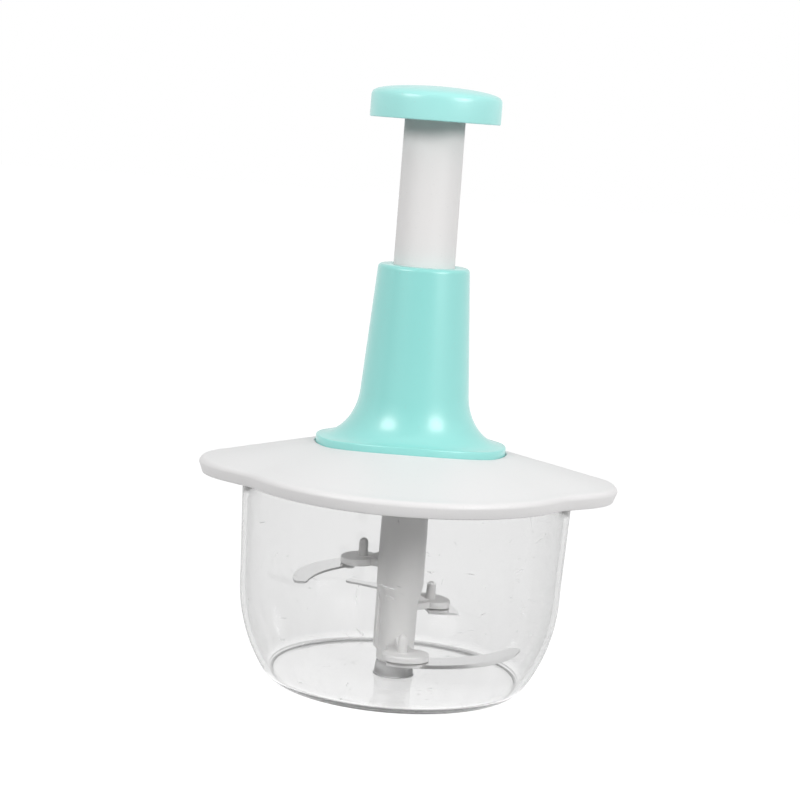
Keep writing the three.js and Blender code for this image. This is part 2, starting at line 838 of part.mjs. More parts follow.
function makeGuideBush() {
  const ring = turned(
    [
      [towerHoleRadius, bushLowZ],
      [towerInside(bushLowZ) - seatGap, bushLowZ],
      [towerInside(bushTopZ) - seatGap, bushTopZ],
      [towerHoleRadius, bushTopZ],
    ],
    towerSides,
  );
  return cut(ring, ...ribNotches(bushLowZ, bushTopZ));
}

// Drive, from the plate under the lid up to the nut in the tube

const plateLowZ = lidBottomZ + plateRise;
const plateTopZ = plateLowZ + plateThickness;
const plateRadius = skirtInnerRadius - hubFlangeGap;
const bearingTubeTopZ = plateLowZ + bearingTubeRise;
const bearingBore = bearingTubeRadius - bearingTubeWall;
const shelfTopZ = plateLowZ + shelfThickness;
const shelfBore = hubJournalRadius + hubFlangeGap;
const postTopZ = deckUnderZ - seatGap;
const postSeatZ = postTopZ - postSeatHeight;
const plateScrewTopZ = postSeatZ - seatGap + plateScrewLength;

function makeBearingPlate() {
  const plate = turned(
    [
      [shelfBore, plateLowZ],
      [plateRadius, plateLowZ],
      [plateRadius, plateTopZ],
      [bearingTubeRadius, plateTopZ],
      [bearingTubeRadius, bearingTubeTopZ],
      [bearingBore, bearingTubeTopZ],
      [bearingBore, shelfTopZ],
      [shelfBore, shelfTopZ],
    ],
    towerSides,
  );
  const posts = screwSpots.map(([x, y]) => cylinder(postRadius, plateLowZ, postTopZ, smallSides, x, y));
  const headHoles = screwSpots.map(([x, y]) =>
    cylinder(screwHeadRadius + runGap, plateLowZ - cutOver, postSeatZ, smallSides, x, y),
  );
  const holes = screwSpots.map(([x, y]) =>
    cylinder(screwRadius + seatGap, postSeatZ - cutOver, postTopZ + cutOver, smallSides, x, y),
  );
  return cut(joined(plate, ...posts), ...headHoles, ...holes);
}

// A pan-head screw that points up, with the underside of its head at height zero
function makeScrew(length) {
  return turned(
    [
      [0, -screwHeadHeight],
      [screwHeadRadius - screwHeadHeight / 3, -screwHeadHeight],
      [screwHeadRadius, -screwHeadHeight / 2],
      [screwHeadRadius, 0],
      [screwRadius, 0],
      [screwRadius, length - screwRadius],
      [0, length],
    ],
    smallSides,
  );
}

const bearingLowZ = shelfTopZ + seatGap;
const bearingTopZ = bearingLowZ + bearingLength;

function makeHubBearing() {
  const bore = hubJournalRadius + runGap;
  const outer = bearingBore - seatGap;
  return turned(
    [
      [bore, bearingLowZ],
      [outer, bearingLowZ],
      [outer, bearingTopZ],
      [bore, bearingTopZ],
    ],
    pieceSides,
  );
}

const hubFlangeLowZ = bearingTopZ + seatGap;
const hubFlangeTopZ = hubFlangeLowZ + hubFlangeThickness;
const hubTopZ = hubFlangeTopZ + hubCollarHeight;
const hubLowZ = plateLowZ - hubDrop;
const clipTopZ = plateLowZ - seatGap;
const clipLowZ = clipTopZ - clipThickness;
const stripLowZ = hubTopZ - hubSlotDepth + seatGap;
const stripPinZ = (hubFlangeTopZ + hubTopZ) / 2;
const seatLowZ = bearingTubeTopZ + seatGap;
const seatTopZ = seatLowZ + seatThickness;

const flangeTopZ = bushLowZ - seatGap;
const tubeLowZ = flangeTopZ - flangeThickness;
const nutLowZ = tubeLowZ + nutRecess;
const nutTopZ = nutLowZ + nutHeight;
const stripTopZ = nutTopZ + stripTopRise;

// The strip's flat turns about its own axis once in each lead, anticlockwise downwards, above a
// straight foot that reaches past the top of the hub.
function twistedBar(width, thickness, lowZ, highZ) {
  const phase = (z) => (-turn * Math.max(0, z - seatTopZ)) / stripLead;
  const count = Math.ceil(((highZ - lowZ) / stripLead) * stripStepsPerTurn);
  const rows = steps(count).map((share) => {
    const z = THREE.MathUtils.lerp(lowZ, highZ, share);
    const corners = [
      [-width / 2, -thickness / 2],
      [0, -thickness / 2],
      [width / 2, -thickness / 2],
      [width / 2, thickness / 2],
      [0, thickness / 2],
      [-width / 2, thickness / 2],
    ];
    const [c, s] = [Math.cos(phase(z)), Math.sin(phase(z))];
    return corners.map(([x, y]) => [x * c - y * s, x * s + y * c, z]);
  });
  return rowSurface(rows, false);
}

// A pin lying along an axis of the XY plane, at a height, between two distances from the middle
function lyingPin(radius, from, to, z, degrees) {
  return cylinder(radius, from, to, smallSides)
    .rotate([0, 90, 0])
    .rotate([0, 0, degrees])
    .translate([0, 0, z]);
}

function makeDriveHub() {
  const grooveRadius = hubJournalRadius - clipGrooveDepth;
  const body = turned(
    [
      [0, hubLowZ],
      [hubJournalRadius, hubLowZ],
      [hubJournalRadius, clipLowZ - seatGap],
      [grooveRadius, clipLowZ - seatGap],
      [grooveRadius, plateLowZ],
      [hubJournalRadius, plateLowZ],
      [hubJournalRadius, hubFlangeLowZ],
      [bearingBore - hubFlangeGap, hubFlangeLowZ],
      [bearingBore - hubFlangeGap, hubFlangeTopZ],
      [hubCollarRadius, hubFlangeTopZ],
      [hubCollarRadius, hubTopZ],
      [0, hubTopZ],
    ],
    pieceSides,
  );
  const spigot = prism(hexagon(spigotAcross), hubLowZ - spigotLength, hubLowZ + clipThickness);
  const slotWidth = stripWidth + 2 * seatGap;
  const slotThickness = stripThickness + 2 * seatGap;
  const slot = twistedBar(slotWidth, slotThickness, hubTopZ - hubSlotDepth, hubTopZ + cutOver);
  const pinReach = hubCollarRadius + cutOver;
  const pinHole = lyingPin(nutPinRadius + seatGap, -pinReach, pinReach, stripPinZ, 90);
  return cut(joined(body, spigot), slot, pinHole);
}

function makeTwistedStrip() {
  const hole = lyingPin(nutPinRadius + seatGap, -stripWidth, stripWidth, stripPinZ, 90);
  return cut(twistedBar(stripWidth, stripThickness, stripLowZ, stripTopZ), hole);
}

function makeHubClip() {
  const inner = hubJournalRadius - clipGrooveDepth + seatGap;
  const ring = turned(
    [
      [inner, clipLowZ],
      [clipRadius, clipLowZ],
      [clipRadius, clipTopZ],
      [inner, clipTopZ],
    ],
    pieceSides,
  );
  const mouth = prism(
    polygon([
      [0, -inner / 2],
      [clipRadius + cutOver, -inner / 2],
      [clipRadius + cutOver, inner / 2],
      [0, inner / 2],
    ]),
    clipLowZ - cutOver,
    clipTopZ + cutOver,
  );
  return cut(ring, mouth);
}

// The seat's upstand stands inside the spring, clear of the flats of its wire
function makeSpringSeat() {
  const innerReach = springRadius * Math.cos(Math.PI / springSteps);
  const rimOuter = innerReach - springWireRadius - seatGap;
  return turned(
    [
      [seatHoleRadius, seatLowZ],
      [bearingTubeRadius, seatLowZ],
      [bearingTubeRadius, seatTopZ],
      [rimOuter, seatTopZ],
      [rimOuter, seatTopZ + seatRimHeight],
      [rimOuter - seatRimWall, seatTopZ + seatRimHeight],
      [rimOuter - seatRimWall, seatTopZ],
      [seatHoleRadius, seatTopZ],
    ],
    pieceSides,
  );
}

// The return spring's wire: flat end turns of a small pitch, with even turns between them
class SpringPath extends THREE.Curve {
  constructor(lowZ, highZ) {
    super();
    this.lowZ = lowZ;
    this.highZ = highZ;
  }

  getPoint(share, target = new THREE.Vector3()) {
    const turns = share * springTurns;
    const evenPitch = (this.highZ - this.lowZ - 2 * springEndPitch) / (springTurns - 2);
    const ends = Math.min(turns, 1) + Math.max(0, turns - springTurns + 1);
    const even = THREE.MathUtils.clamp(turns - 1, 0, springTurns - 2);
    const z = this.lowZ + ends * springEndPitch + even * evenPitch;
    const angle = turns * turn;
    return target.set(springRadius * Math.cos(angle), springRadius * Math.sin(angle), z);
  }
}

function springPath() {
  const lowZ = seatTopZ + seatGap + springWireRadius;
  const path = new SpringPath(lowZ, nutLowZ - seatGap - springWireRadius);
  path.arcLengthDivisions = springTurns * springSteps;
  return path;
}

// The least clear distance between the wire and the turns beside it
function springGap(path) {
  const points = path.getPoints(springTurns * springSteps * 4);
  const nextTurn = springSteps * 3;
  let least = Infinity;
  points.forEach((point, i) => {
    points.slice(i + nextTurn).forEach((other) => {
      least = Math.min(least, point.distanceTo(other));
    });
  });
  return least - 2 * springWireRadius;
}

function makeSpring() {
  const path = springPath();
  console.log("least gap between the spring's turns: " + springGap(path).toFixed(2) + " mm");
  const wire = new THREE.Shape();
  wire.absarc(0, 0, springWireRadius, 0, turn, false);
  const section = new THREE.Shape(wire.getPoints(springSides).slice(0, springSides));
  const options = { steps: springTurns * springSteps, bevelEnabled: false, extrudePath: path };
  return solidOf(new THREE.ExtrudeGeometry(section, options));
}

// Plunger

const knobBandTopZ = knobBottomZ + knobBandHeight;
const tubeNutBore = tubeRadius - tubeNutWall;
const tubeUpperBore = tubeRadius - tubeUpperWall;
const nutPinZ = (nutLowZ + nutTopZ) / 2;
const tubeWebTopZ = tubeWebZ + tubeWebThickness;
const knobScrewZ = tubeWebZ - seatGap;

// The knob's crown: level in the middle and swelling to a round shoulder
function knobCrown(radius, height) {
  return knobCrownShares.map((share) => [
    radius * (1 - share ** knobLowerPower) ** knobUpperPower,
    knobBandTopZ + height * share,
  ]);
}

function makeKnob() {
  const innerRadius = knobRadius - knobWall;
  const sleeveInner = tubeTopRadius + runGap;
  const sleeveOuter = sleeveInner + knobSleeveWall;
  const sleeveLowZ = knobBottomZ + knobSleeveInset;
  const roofZ = tubeTopZ + seatGap;
  const pilotRadius = screwRadius + seatGap;
  const pilotTopZ = knobScrewZ + knobScrewLength + seatGap;
  const bossLowZ = tubeWebTopZ + seatGap;
  const ceiling = knobCrown(innerRadius, knobCrownHeight - knobWall)
    .filter(([radius]) => radius > sleeveOuter)
    .reverse();
  const shell = turned(
    [
      [0, pilotTopZ],
      [pilotRadius, pilotTopZ],
      [pilotRadius, bossLowZ],
      [knobBossRadius, bossLowZ],
      [knobBossRadius, roofZ],
      [sleeveInner, roofZ],
      [sleeveInner, sleeveLowZ],
      [sleeveOuter, sleeveLowZ],
      [sleeveOuter, ceiling[0][1]],
      ...ceiling,
      [innerRadius, knobBottomZ],
      [knobRadius - knobLowerRound, knobBottomZ],
      [knobRadius, knobBottomZ + knobLowerRound],
      ...knobCrown(knobRadius, knobCrownHeight),
    ],
    knobSides,
  );
  const ribLowZ = knobBottomZ + knobRibInset;
  const middle = turned(
    [
      [0, ribLowZ],
      [knobRadius - knobWall / 2, ribLowZ],
      ...knobCrown(knobRadius - knobWall / 2, knobCrownHeight - knobWall / 2),
    ],
    knobSides,
  );
  const rib = prism(
    polygon([
      [sleeveOuter - knobWall / 2, -knobRibWidth / 2],
      [knobRadius, -knobRibWidth / 2],
      [knobRadius, knobRibWidth / 2],
      [sleeveOuter - knobWall / 2, knobRibWidth / 2],
    ]),
    knobBottomZ,
    knobBandTopZ + knobCrownHeight,
  ).intersect(middle);
  const angles = steps(knobRibCount).slice(1).map((share) => share * 360);
  return joined(shell, ...angles.map((degrees) => rib.rotate([0, 0, degrees])));
}

function makePlungerTube() {
  const screwHole = screwRadius + seatGap;
  const tube = turned(
    [
      [tubeNutBore, tubeLowZ],
      [flangeRadius, tubeLowZ],
      [flangeRadius, flangeTopZ],
      [tubeRadius, flangeTopZ],
      [tubeTopRadius, tubeTopZ],
      [tubeUpperBore, tubeTopZ],
      [tubeUpperBore, tubeWebTopZ],
      [screwHole, tubeWebTopZ],
      [screwHole, tubeWebZ],
      [tubeUpperBore, tubeWebZ],
      [tubeUpperBore, nutTopZ + seatGap],
      [tubeNutBore, nutTopZ + seatGap],
    ],
    towerSides,
  );
  const reach = tubeRadius + cutOver;
  const pinHoles = lyingPin(nutPinRadius + seatGap, -reach, reach, nutPinZ, 0);
  return cut(tube, ...ribNotches(tubeLowZ, flangeTopZ), pinHoles);
}

function makeDriveNut() {
  const body = cylinder(tubeNutBore - seatGap, nutLowZ, nutTopZ, pieceSides);
  const slotWidth = stripWidth + 2 * runGap;
  const slotThickness = stripThickness + 2 * runGap;
  const slot = twistedBar(slotWidth, slotThickness, nutLowZ - cutOver, nutTopZ + cutOver);
  const holes = [0, 180].map((degrees) =>
    lyingPin(nutPinRadius + seatGap, nutPinInnerEnd - seatGap, tubeRadius, nutPinZ, degrees),
  );
  return cut(body, slot, ...holes);
}

function makeNutPin(degrees) {
  return lyingPin(nutPinRadius, nutPinInnerEnd, tubeRadius - seatGap, nutPinZ, degrees);
}

const group = new THREE.Group();

group.add(
  piece("bowl", materials.clear, makeBowl()),
  piece("pivot_pin", materials.steel, makePivotPin()),
  piece("blade_shaft", materials.grey, makeBladeShaft()),
  piece("shaft_bush", materials.natural, makeFootBush()),
  piece("lid_shell", materials.white, makeLid()),
  piece("lid_seal", materials.silicone, makeSeal()),
  piece("bearing_plate", materials.white, makeBearingPlate()),
  piece("hub_bearing", materials.natural, makeHubBearing()),
  piece("tower_housing", materials.mint, makeTower()),
  piece("guide_bush", materials.natural, makeGuideBush()),
  piece("spring_seat", materials.natural, makeSpringSeat()),
  piece("drive_hub", materials.grey, makeDriveHub()),
  piece("twisted_strip", materials.steel, makeTwistedStrip()),
  piece(
    "strip_pin",
    materials.steel,
    lyingPin(nutPinRadius, seatGap - hubCollarRadius, hubCollarRadius - seatGap, stripPinZ, 90),
  ),
  piece("hub_clip", materials.steel, makeHubClip()),
  piece("return_spring", materials.steel, makeSpring()),
  piece("plunger_tube", materials.grey, makePlungerTube()),
  piece("drive_nut", materials.natural, makeDriveNut()),
  piece("nut_pin_right", materials.steel, makeNutPin(0)),
  piece("nut_pin_left", materials.steel, makeNutPin(180)),
  piece("knob", materials.mint, makeKnob()),
  piece("knob_screw", materials.steel, makeScrew(knobScrewLength).translate([0, 0, knobScrewZ])),
);

bladeNames.forEach((name, level) => {
  group.add(piece("blade_" + name, materials.steel, makeBlade(level)));
});

screwSpots.forEach(([x, y], i) => {
  const screw = makeScrew(plateScrewLength).translate([x, y, postSeatZ - seatGap]);
  group.add(piece("plate_screw_" + (i + 1), materials.steel, screw));
});

export default group;
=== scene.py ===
import json
import math

import bmesh
import bpy
from mathutils import Matrix, Vector


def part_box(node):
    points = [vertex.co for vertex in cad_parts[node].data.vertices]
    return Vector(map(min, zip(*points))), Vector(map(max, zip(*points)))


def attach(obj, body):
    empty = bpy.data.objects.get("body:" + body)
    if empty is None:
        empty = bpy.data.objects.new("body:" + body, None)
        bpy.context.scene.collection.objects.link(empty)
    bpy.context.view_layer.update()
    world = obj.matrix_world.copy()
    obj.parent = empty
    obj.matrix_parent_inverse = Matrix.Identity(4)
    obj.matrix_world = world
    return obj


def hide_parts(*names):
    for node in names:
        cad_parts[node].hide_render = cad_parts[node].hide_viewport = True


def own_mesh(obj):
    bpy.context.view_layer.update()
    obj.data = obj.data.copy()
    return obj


# Looks of the hand-pressed food chopper, in metres, +Z up, with the lid's ears along X.
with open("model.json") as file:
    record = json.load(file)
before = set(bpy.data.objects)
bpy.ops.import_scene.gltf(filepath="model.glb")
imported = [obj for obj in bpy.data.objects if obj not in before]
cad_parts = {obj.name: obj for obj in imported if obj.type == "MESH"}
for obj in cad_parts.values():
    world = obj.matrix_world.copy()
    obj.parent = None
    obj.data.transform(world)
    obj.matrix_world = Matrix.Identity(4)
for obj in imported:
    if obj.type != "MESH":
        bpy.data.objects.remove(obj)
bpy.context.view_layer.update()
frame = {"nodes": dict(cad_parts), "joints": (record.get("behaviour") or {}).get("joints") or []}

mm = 0.001
turn = 2 * math.pi

# Between faces that rest on each other, and round a piece that slides or turns
seat_gap = 0.3 * mm
run_gap = 0.4 * mm


def blended(low, high, share):
    return low + (high - low) * share


def shares(count):
    """Even steps from 0 to 1, with both ends."""
    return [i / count for i in range(count + 1)]


def quarter_turn(count):
    return [s * math.pi / 2 for s in shares(count)]


def full_turn(count):
    """The angles of a ring's corners, each once."""
    return [s * turn for s in shares(count)[1:]]


def reach(node):
    """How far a round CAD node reaches from the Z axis."""
    low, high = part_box(node)
    return max(high.x, high.y, -low.x, -low.y)


def foot_z(node):
    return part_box(node)[0].z


def top_z(node):
    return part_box(node)[1].z


# Main sizes of the bowl

bowl_radius = reach("bowl")
bowl_height = top_z("bowl")
bowl_wall = 2.2 * mm
wall_lean = 1.9 * mm
belly_radius = bowl_radius - wall_lean
belly_z = 0.495 * bowl_height
bowl_power = 2.3
toe_inset = 15 * mm
toe_radius = belly_radius - toe_inset
foot_inset = 3 * mm
foot_radius = toe_radius - foot_inset
floor_edge_inset = 2.1 * mm
floor_edge_radius = toe_radius - floor_edge_inset
floor_z = 2.4 * mm
foot_rise = 2.6 * mm
floor_rise = 2.5 * mm
boss_radius = 10.2 * mm


# Building finishes

def in_use(sockets, name):
    """A node's socket by its number, or by its name among those that are in use."""
    if isinstance(name, int):
        return sockets[name]
    return next(socket for socket in sockets if socket.name == name and socket.enabled)


class Value:
    """A socket in a finish. Python's own signs on it add the maths nodes."""

    def __init__(self, finish, socket):
        self.finish = finish
        self.socket = socket

    def maths(self, operation, *values):
        return self.finish.node("ShaderNodeMath", {"operation": operation}, dict(enumerate(values)))

    def __add__(self, other):
        return self.maths("ADD", self, other)

    def __radd__(self, other):
        return self.maths("ADD", other, self)

    def __sub__(self, other):
        return self.maths("SUBTRACT", self, other)

    def __rsub__(self, other):
        return self.maths("SUBTRACT", other, self)

    def __mul__(self, other):
        return self.maths("MULTIPLY", self, other)

    def __rmul__(self, other):
        return self.maths("MULTIPLY", other, self)

    def larger(self, other):
        return self.maths("MAXIMUM", self, other)

    def power(self, exponent):
        return self.maths("POWER", self, exponent)

    def unsigned(self):
        return self.maths("ABSOLUTE", self)

    def over(self, level):
        return self.maths("GREATER_THAN", self, level)

    def above(self, level, softness):
        """0 below the level, 1 above it, with a soft step between."""
        inputs = {"Value": self, "From Min": level - softness, "From Max": level + softness}
        return self.finish.node("ShaderNodeMapRange", {"interpolation_type": "SMOOTHSTEP"}, inputs, "Result")

    def below(self, level, softness):
        return 1 - self.above(level, softness)


class Finish:
    """A finish for one kind of surface, or for the room, built up node by node."""

    def __init__(self, owner, coordinates="Object"):
        self.owner = owner
        owner.use_nodes = True
        self.tree = owner.node_tree
        self.tree.nodes.clear()
        self.place = self.node("ShaderNodeTexCoord", output=coordinates)

    def node(self, kind, settings=None, inputs=None, output=0):
        """A new node. Its settings come first, then the values or links of its sockets."""
        node = self.tree.nodes.new(kind)
        for name, value in (settings or {}).items():
            setattr(node, name, value)
        for name, value in (inputs or {}).items():
            socket = in_use(node.inputs, name)
            if isinstance(value, Value):
                self.tree.links.new(value.socket, socket)
            else:
                socket.default_value = value
        return Value(self, in_use(node.outputs, output))

    def mixed(self, share, first, second):
        inputs = {"Factor": share, "A": first, "B": second}
        return self.node("ShaderNodeMix", {"data_type": "RGBA"}, inputs, "Result")

    def part_of_place(self, axis):
        return self.node("ShaderNodeSeparateXYZ", inputs={"Vector": self.place}, output=axis)

    def from_axis(self):
        """How far the place is from the object's Z axis."""
        flat = self.stretched((1, 1, 0))
        return self.node("ShaderNodeVectorMath", {"operation": "LENGTH"}, {0: flat}, "Value")

    def noise(self, scale, detail, place=None):
        inputs = {"Vector": place or self.place, "Scale": scale, "Detail": detail, "Roughness": 0.55}
        return self.node("ShaderNodeTexNoise", {"noise_dimensions": "3D"}, inputs)

    def stretched(self, stretch, place=None):
        """The place on the object, with each axis made longer or shorter."""
        inputs = {0: place or self.place, 1: stretch}
        return self.node("ShaderNodeVectorMath", {"operation": "MULTIPLY"}, inputs, "Vector")

    def drawn_out(self, stretch, detail, place=None):
        """Noise as marks that run along the axes with the smallest stretch."""
        return self.noise(scale=1, detail=detail, place=self.stretched(stretch, place))

    def bent(self, scale, amount):
        """The place on the object, pushed about so that straight marks come out curved."""
        inputs = {"Vector": self.place, "Scale": scale, "Detail": 1}
        push = self.node("ShaderNodeTexNoise", {"noise_dimensions": "3D"}, inputs, "Color")
        inputs = {0: push, 1: (amount, amount, amount), 2: self.place}
        return self.node("ShaderNodeVectorMath", {"operation": "MULTIPLY_ADD"}, inputs, "Vector")

    def bump(self, height, depth, strength):
        inputs = {"Height": height, "Distance": depth, "Strength": strength}
        return self.node("ShaderNodeBump", inputs=inputs, output="Normal")

    def path(self, question):
        """What the light path knows of the ray that meets the surface."""
        return self.node("ShaderNodeLightPath", output=question)

    def shader(self, kind, inputs):
        return self.node("ShaderNodeBsdf" + kind, inputs=inputs, output="BSDF")

    def mixed_shader(self, share, first, second):
        return self.node("ShaderNodeMixShader", inputs={0: share, 1: first, 2: second})

    def surface(self, shader, output_kind="ShaderNodeOutputMaterial"):
        output = self.tree.nodes.new(output_kind)
        self.tree.links.new(shader.socket, output.inputs["Surface"])
        return self.owner


def grey(level):
    return (level, level, level, 1)


def darker(colour, share):
    return tuple(share * part for part in colour[:3]) + (1,)


speck_strength = 0.10
speck_tone = grey(0.45)
gloss_change = 0.10
coat_roughness = 0.22


def moulded_plastic(name, colour, shade, roughness, grain, coat=0.0):
    """A moulded plastic: faint clouds in its colour, uneven gloss and a very fine grain. A coat
    stands for the polished skin that a shiny mould leaves."""
    finish = Finish(bpy.data.materials.new(name))
    clouds = finish.noise(scale=14, detail=3)
    specks = finish.noise(scale=900, detail=1).above(level=0.72, softness=0.03)
    base = finish.mixed(clouds, colour, shade)
    base = finish.mixed(specks * speck_strength, base, speck_tone)
    gloss = roughness + (finish.noise(scale=55, detail=4) - 0.5) * gloss_change
    normal = finish.bump(finish.noise(scale=1600, detail=2), depth=grain * mm, strength=0.35)
    inputs = {"Base Color": base, "Roughness": gloss, "Normal": normal, "IOR": 1.5}
    inputs |= {"Coat Weight": coat, "Coat Roughness": coat_roughness}
    return finish.surface(finish.shader("Principled", inputs))


# Marks, haze and painted light and shade on the clear plastic

upright_marks = (700, 700, 110)
level_marks = (90, 90, 900)
wall_columns = (85, 85, 6)
polish = 0.02
wipe_dulling = 0.2
wall_start_z = 5 * mm
# Painted shade: the wall is greyed where it is seen at a slant, in upright streaks
painted_edge_shade_least = 0.30
painted_edge_shade_more = 0.5
painted_edge_shade = grey(0.45)
# Painted shadow: a dark line round the foot's edge, where the bowl stands on the floor
foot_shadow_width = 2 * mm
foot_shadow_low_z = 0.15 * mm
foot_shadow_top_z = 1.3 * mm
painted_foot_shadow = grey(0.06)
# Painted shade: dark lines round the edge of the bowl's floor, darker at the sides
lines_low_z = 2 * mm
lines_top_z = 4 * mm
lines_from_x = 38 * mm
lines_least = 0.1
lines_more = 0.75
painted_line_shade = grey(0.12)
second_line_out = 1.7 * mm
second_line_strength = 0.8
boss_low_z = 2.7 * mm
ring_until_x = 45 * mm
# Painted shade: a grey haze over the wall where it is seen most at a slant
slant_shade_power = 7
slant_painted_shade = 0.85
scratch_haze = 0.45
# Painted light: grey haze that lightens the boss and the floor's edge at the front and back
boss_painted_light = 0.6
ring_painted_light = 0.75


def thin_ring(radius, ring_radius, half_width):
    """1 on a thin ring about the Z axis, 0 off it."""
    soft = 0.4 * half_width
    return radius.above(ring_radius - half_width, soft) * radius.below(ring_radius + half_width, soft)


def scratches(finish):
    """Fine curved hairs, upright and level, in patches."""
    bent = finish.bent(scale=30, amount=0.03)
    upright = finish.drawn_out(upright_marks, 2, bent).above(level=0.75, softness=0.02)
    level = finish.drawn_out(level_marks, 2, bent).above(level=0.73, softness=0.02)
    return upright.larger(level) * finish.noise(scale=60, detail=2).above(level=0.5, softness=0.08)


def wiped_gloss(finish):
    """The polish, a little duller in patches of level wipe marks."""
    patches = finish.noise(scale=22, detail=3).above(level=0.54, softness=0.10)
    marks = finish.drawn_out(level_marks, detail=4).above(level=0.66, softness=0.05)
    return polish + marks * patches * wipe_dulling


def floor_shade_lines(radius, height, side):
    """Painted shade: two dark lines round the edge of the bowl's floor, faint at the front and back."""
    lines = thin_ring(radius, floor_edge_radius, half_width=0.35 * mm)
    second = thin_ring(radius, floor_edge_radius + second_line_out, half_width=0.25 * mm)
    lines = lines.larger(second * second_line_strength)
    lines = lines * height.above(lines_low_z, softness=0.2 * mm)
    lines = lines * height.below(lines_top_z, softness=0.2 * mm)
    return lines * (lines_least + side.above(lines_from_x, softness=22 * mm) * lines_more)


def clear_plastic(name, colour, painted_light_floor_colour):
    """The bowl's clear plastic. Painted shade makes it greyer and hazy where it is seen at a slant, a
    painted shadow darkens the edge of the foot, painted shade draws dark lines round the floor, and painted
    light lightens the boss, the front and back of the floor's edge and the whole floor; it is also wiped and
    scratched. Lamps shine through it."""
    finish = Finish(bpy.data.materials.new(name))
    height = finish.part_of_place("Z")
    radius = finish.from_axis()
    side = finish.part_of_place("X").unsigned()
    wall = height.above(wall_start_z, softness=2 * mm)
    hairs = scratches(finish)
    slant = finish.node("ShaderNodeLayerWeight", inputs={"Blend": 0.5}, output="Facing")
    columns = finish.drawn_out(wall_columns, detail=2).above(level=0.5, softness=0.2)
    # Painted shade: the wall greys towards its outlines, where it is seen at a slant
    edge = wall * slant * slant * (painted_edge_shade_least + columns * painted_edge_shade_more)
    # Painted shadow along the edge of the foot
    foot_shadow = radius.above(foot_radius - foot_shadow_width, softness=1 * mm)
    foot_shadow = foot_shadow * height.above(foot_shadow_low_z, softness=0.1 * mm)
    foot_shadow = foot_shadow * height.below(foot_shadow_top_z, softness=0.3 * mm)
    # Painted light: the bowl's floor is tinted lighter than its walls
    tint = finish.mixed(wall, painted_light_floor_colour, colour)
    tint = finish.mixed(edge, tint, painted_edge_shade)
    tint = finish.mixed(foot_shadow, tint, painted_foot_shadow)
    tint = finish.mixed(floor_shade_lines(radius, height, side), tint, painted_line_shade)
    waves = finish.bump(finish.noise(scale=26, detail=2), depth=0.12 * mm, strength=0.45)
    inputs = {"Base Color": tint, "Roughness": wiped_gloss(finish), "Normal": waves}
    plastic = finish.shader("Principled", inputs | {"IOR": 1.49, "Transmission Weight": 1.0})
    # The grey haze carries the scratches, painted shade at the outlines and painted light on the boss and
    # floor edge
    scratch_and_painted_grey = finish.mixed(hairs, grey(0.50), grey(0.85))
    scratch_haze_painted_light_shade = finish.shader("Principled", {"Base Color": scratch_and_painted_grey, "Roughness": 0.5})
    # Painted light over the boss and over the floor's edge at the front and back
    boss = radius.below(boss_radius, softness=0.2 * mm) * height.above(boss_low_z, softness=0.2 * mm)
    far_ring = thin_ring(radius, floor_edge_radius, half_width=1.6 * mm)
    far_ring = far_ring * side.below(ring_until_x, softness=15 * mm)
    # How much grey haze shows: real scratches, painted shade at the outlines, painted light on the boss and
    # floor edge
    scratches_and_painted_light_shade = (wall * slant.power(slant_shade_power) * slant_painted_shade).larger(hairs * scratch_haze)
    scratches_and_painted_light_shade = scratches_and_painted_light_shade.larger(boss * boss_painted_light).larger(far_ring * ring_painted_light)
    plastic = finish.mixed_shader(scratches_and_painted_light_shade, plastic, scratch_haze_painted_light_shade)
    way_through = finish.shader("Transparent", {"Color": grey(0.95)})
    return finish.surface(finish.mixed_shader(finish.path("Is Shadow Ray"), plastic, way_through))


# Steel and rubber

steel_shade = 0.92
steel_cloud_strength = 0.5
streak_dulling = 0.14
rubber_shade = 0.9
rubber_roughness = 0.62
dust_strength = 0.3
dust_dulling = 0.12


def ground_steel(name, colour, roughness, streak_scale):
    """Stainless steel with fine grinding streaks, or soft clouds if the scale is the same all ways."""
    finish = Finish(bpy.data.materials.new(name))
    streaks = finish.drawn_out(streak_scale, detail=3)
    clouds = finish.noise(scale=60, detail=2) * steel_cloud_strength
    base = finish.mixed(clouds, colour, darker(colour, steel_shade))
    gloss = roughness + (streaks - 0.5) * streak_dulling
    normal = finish.bump(streaks, depth=0.02 * mm, strength=0.4)
    inputs = {"Base Color": base, "Roughness": gloss, "Normal": normal, "Metallic": 1.0}
    return finish.surface(finish.shader("Principled", inputs))


def soft_rubber(name, colour):
    finish = Finish(bpy.data.materials.new(name))
    dust = finish.noise(scale=300, detail=3)
    base = finish.mixed(dust * dust_strength, colour, darker(colour, rubber_shade))
    gloss = rubber_roughness + dust * dust_dulling
    normal = finish.bump(finish.noise(scale=1100, detail=2), depth=0.04 * mm, strength=0.5)
    inputs = {"Base Color": base, "Roughness": gloss, "Normal": normal, "IOR": 1.41}
    return finish.surface(finish.shader("Principled", inputs))


# Finishes of the pieces

mint = moulded_plastic(
    "mint_plastic",
    colour=(0.318, 0.765, 0.722, 1),
    shade=(0.303, 0.750, 0.707, 1),
    roughness=0.38,
    grain=0.02,
    coat=0.6,
)
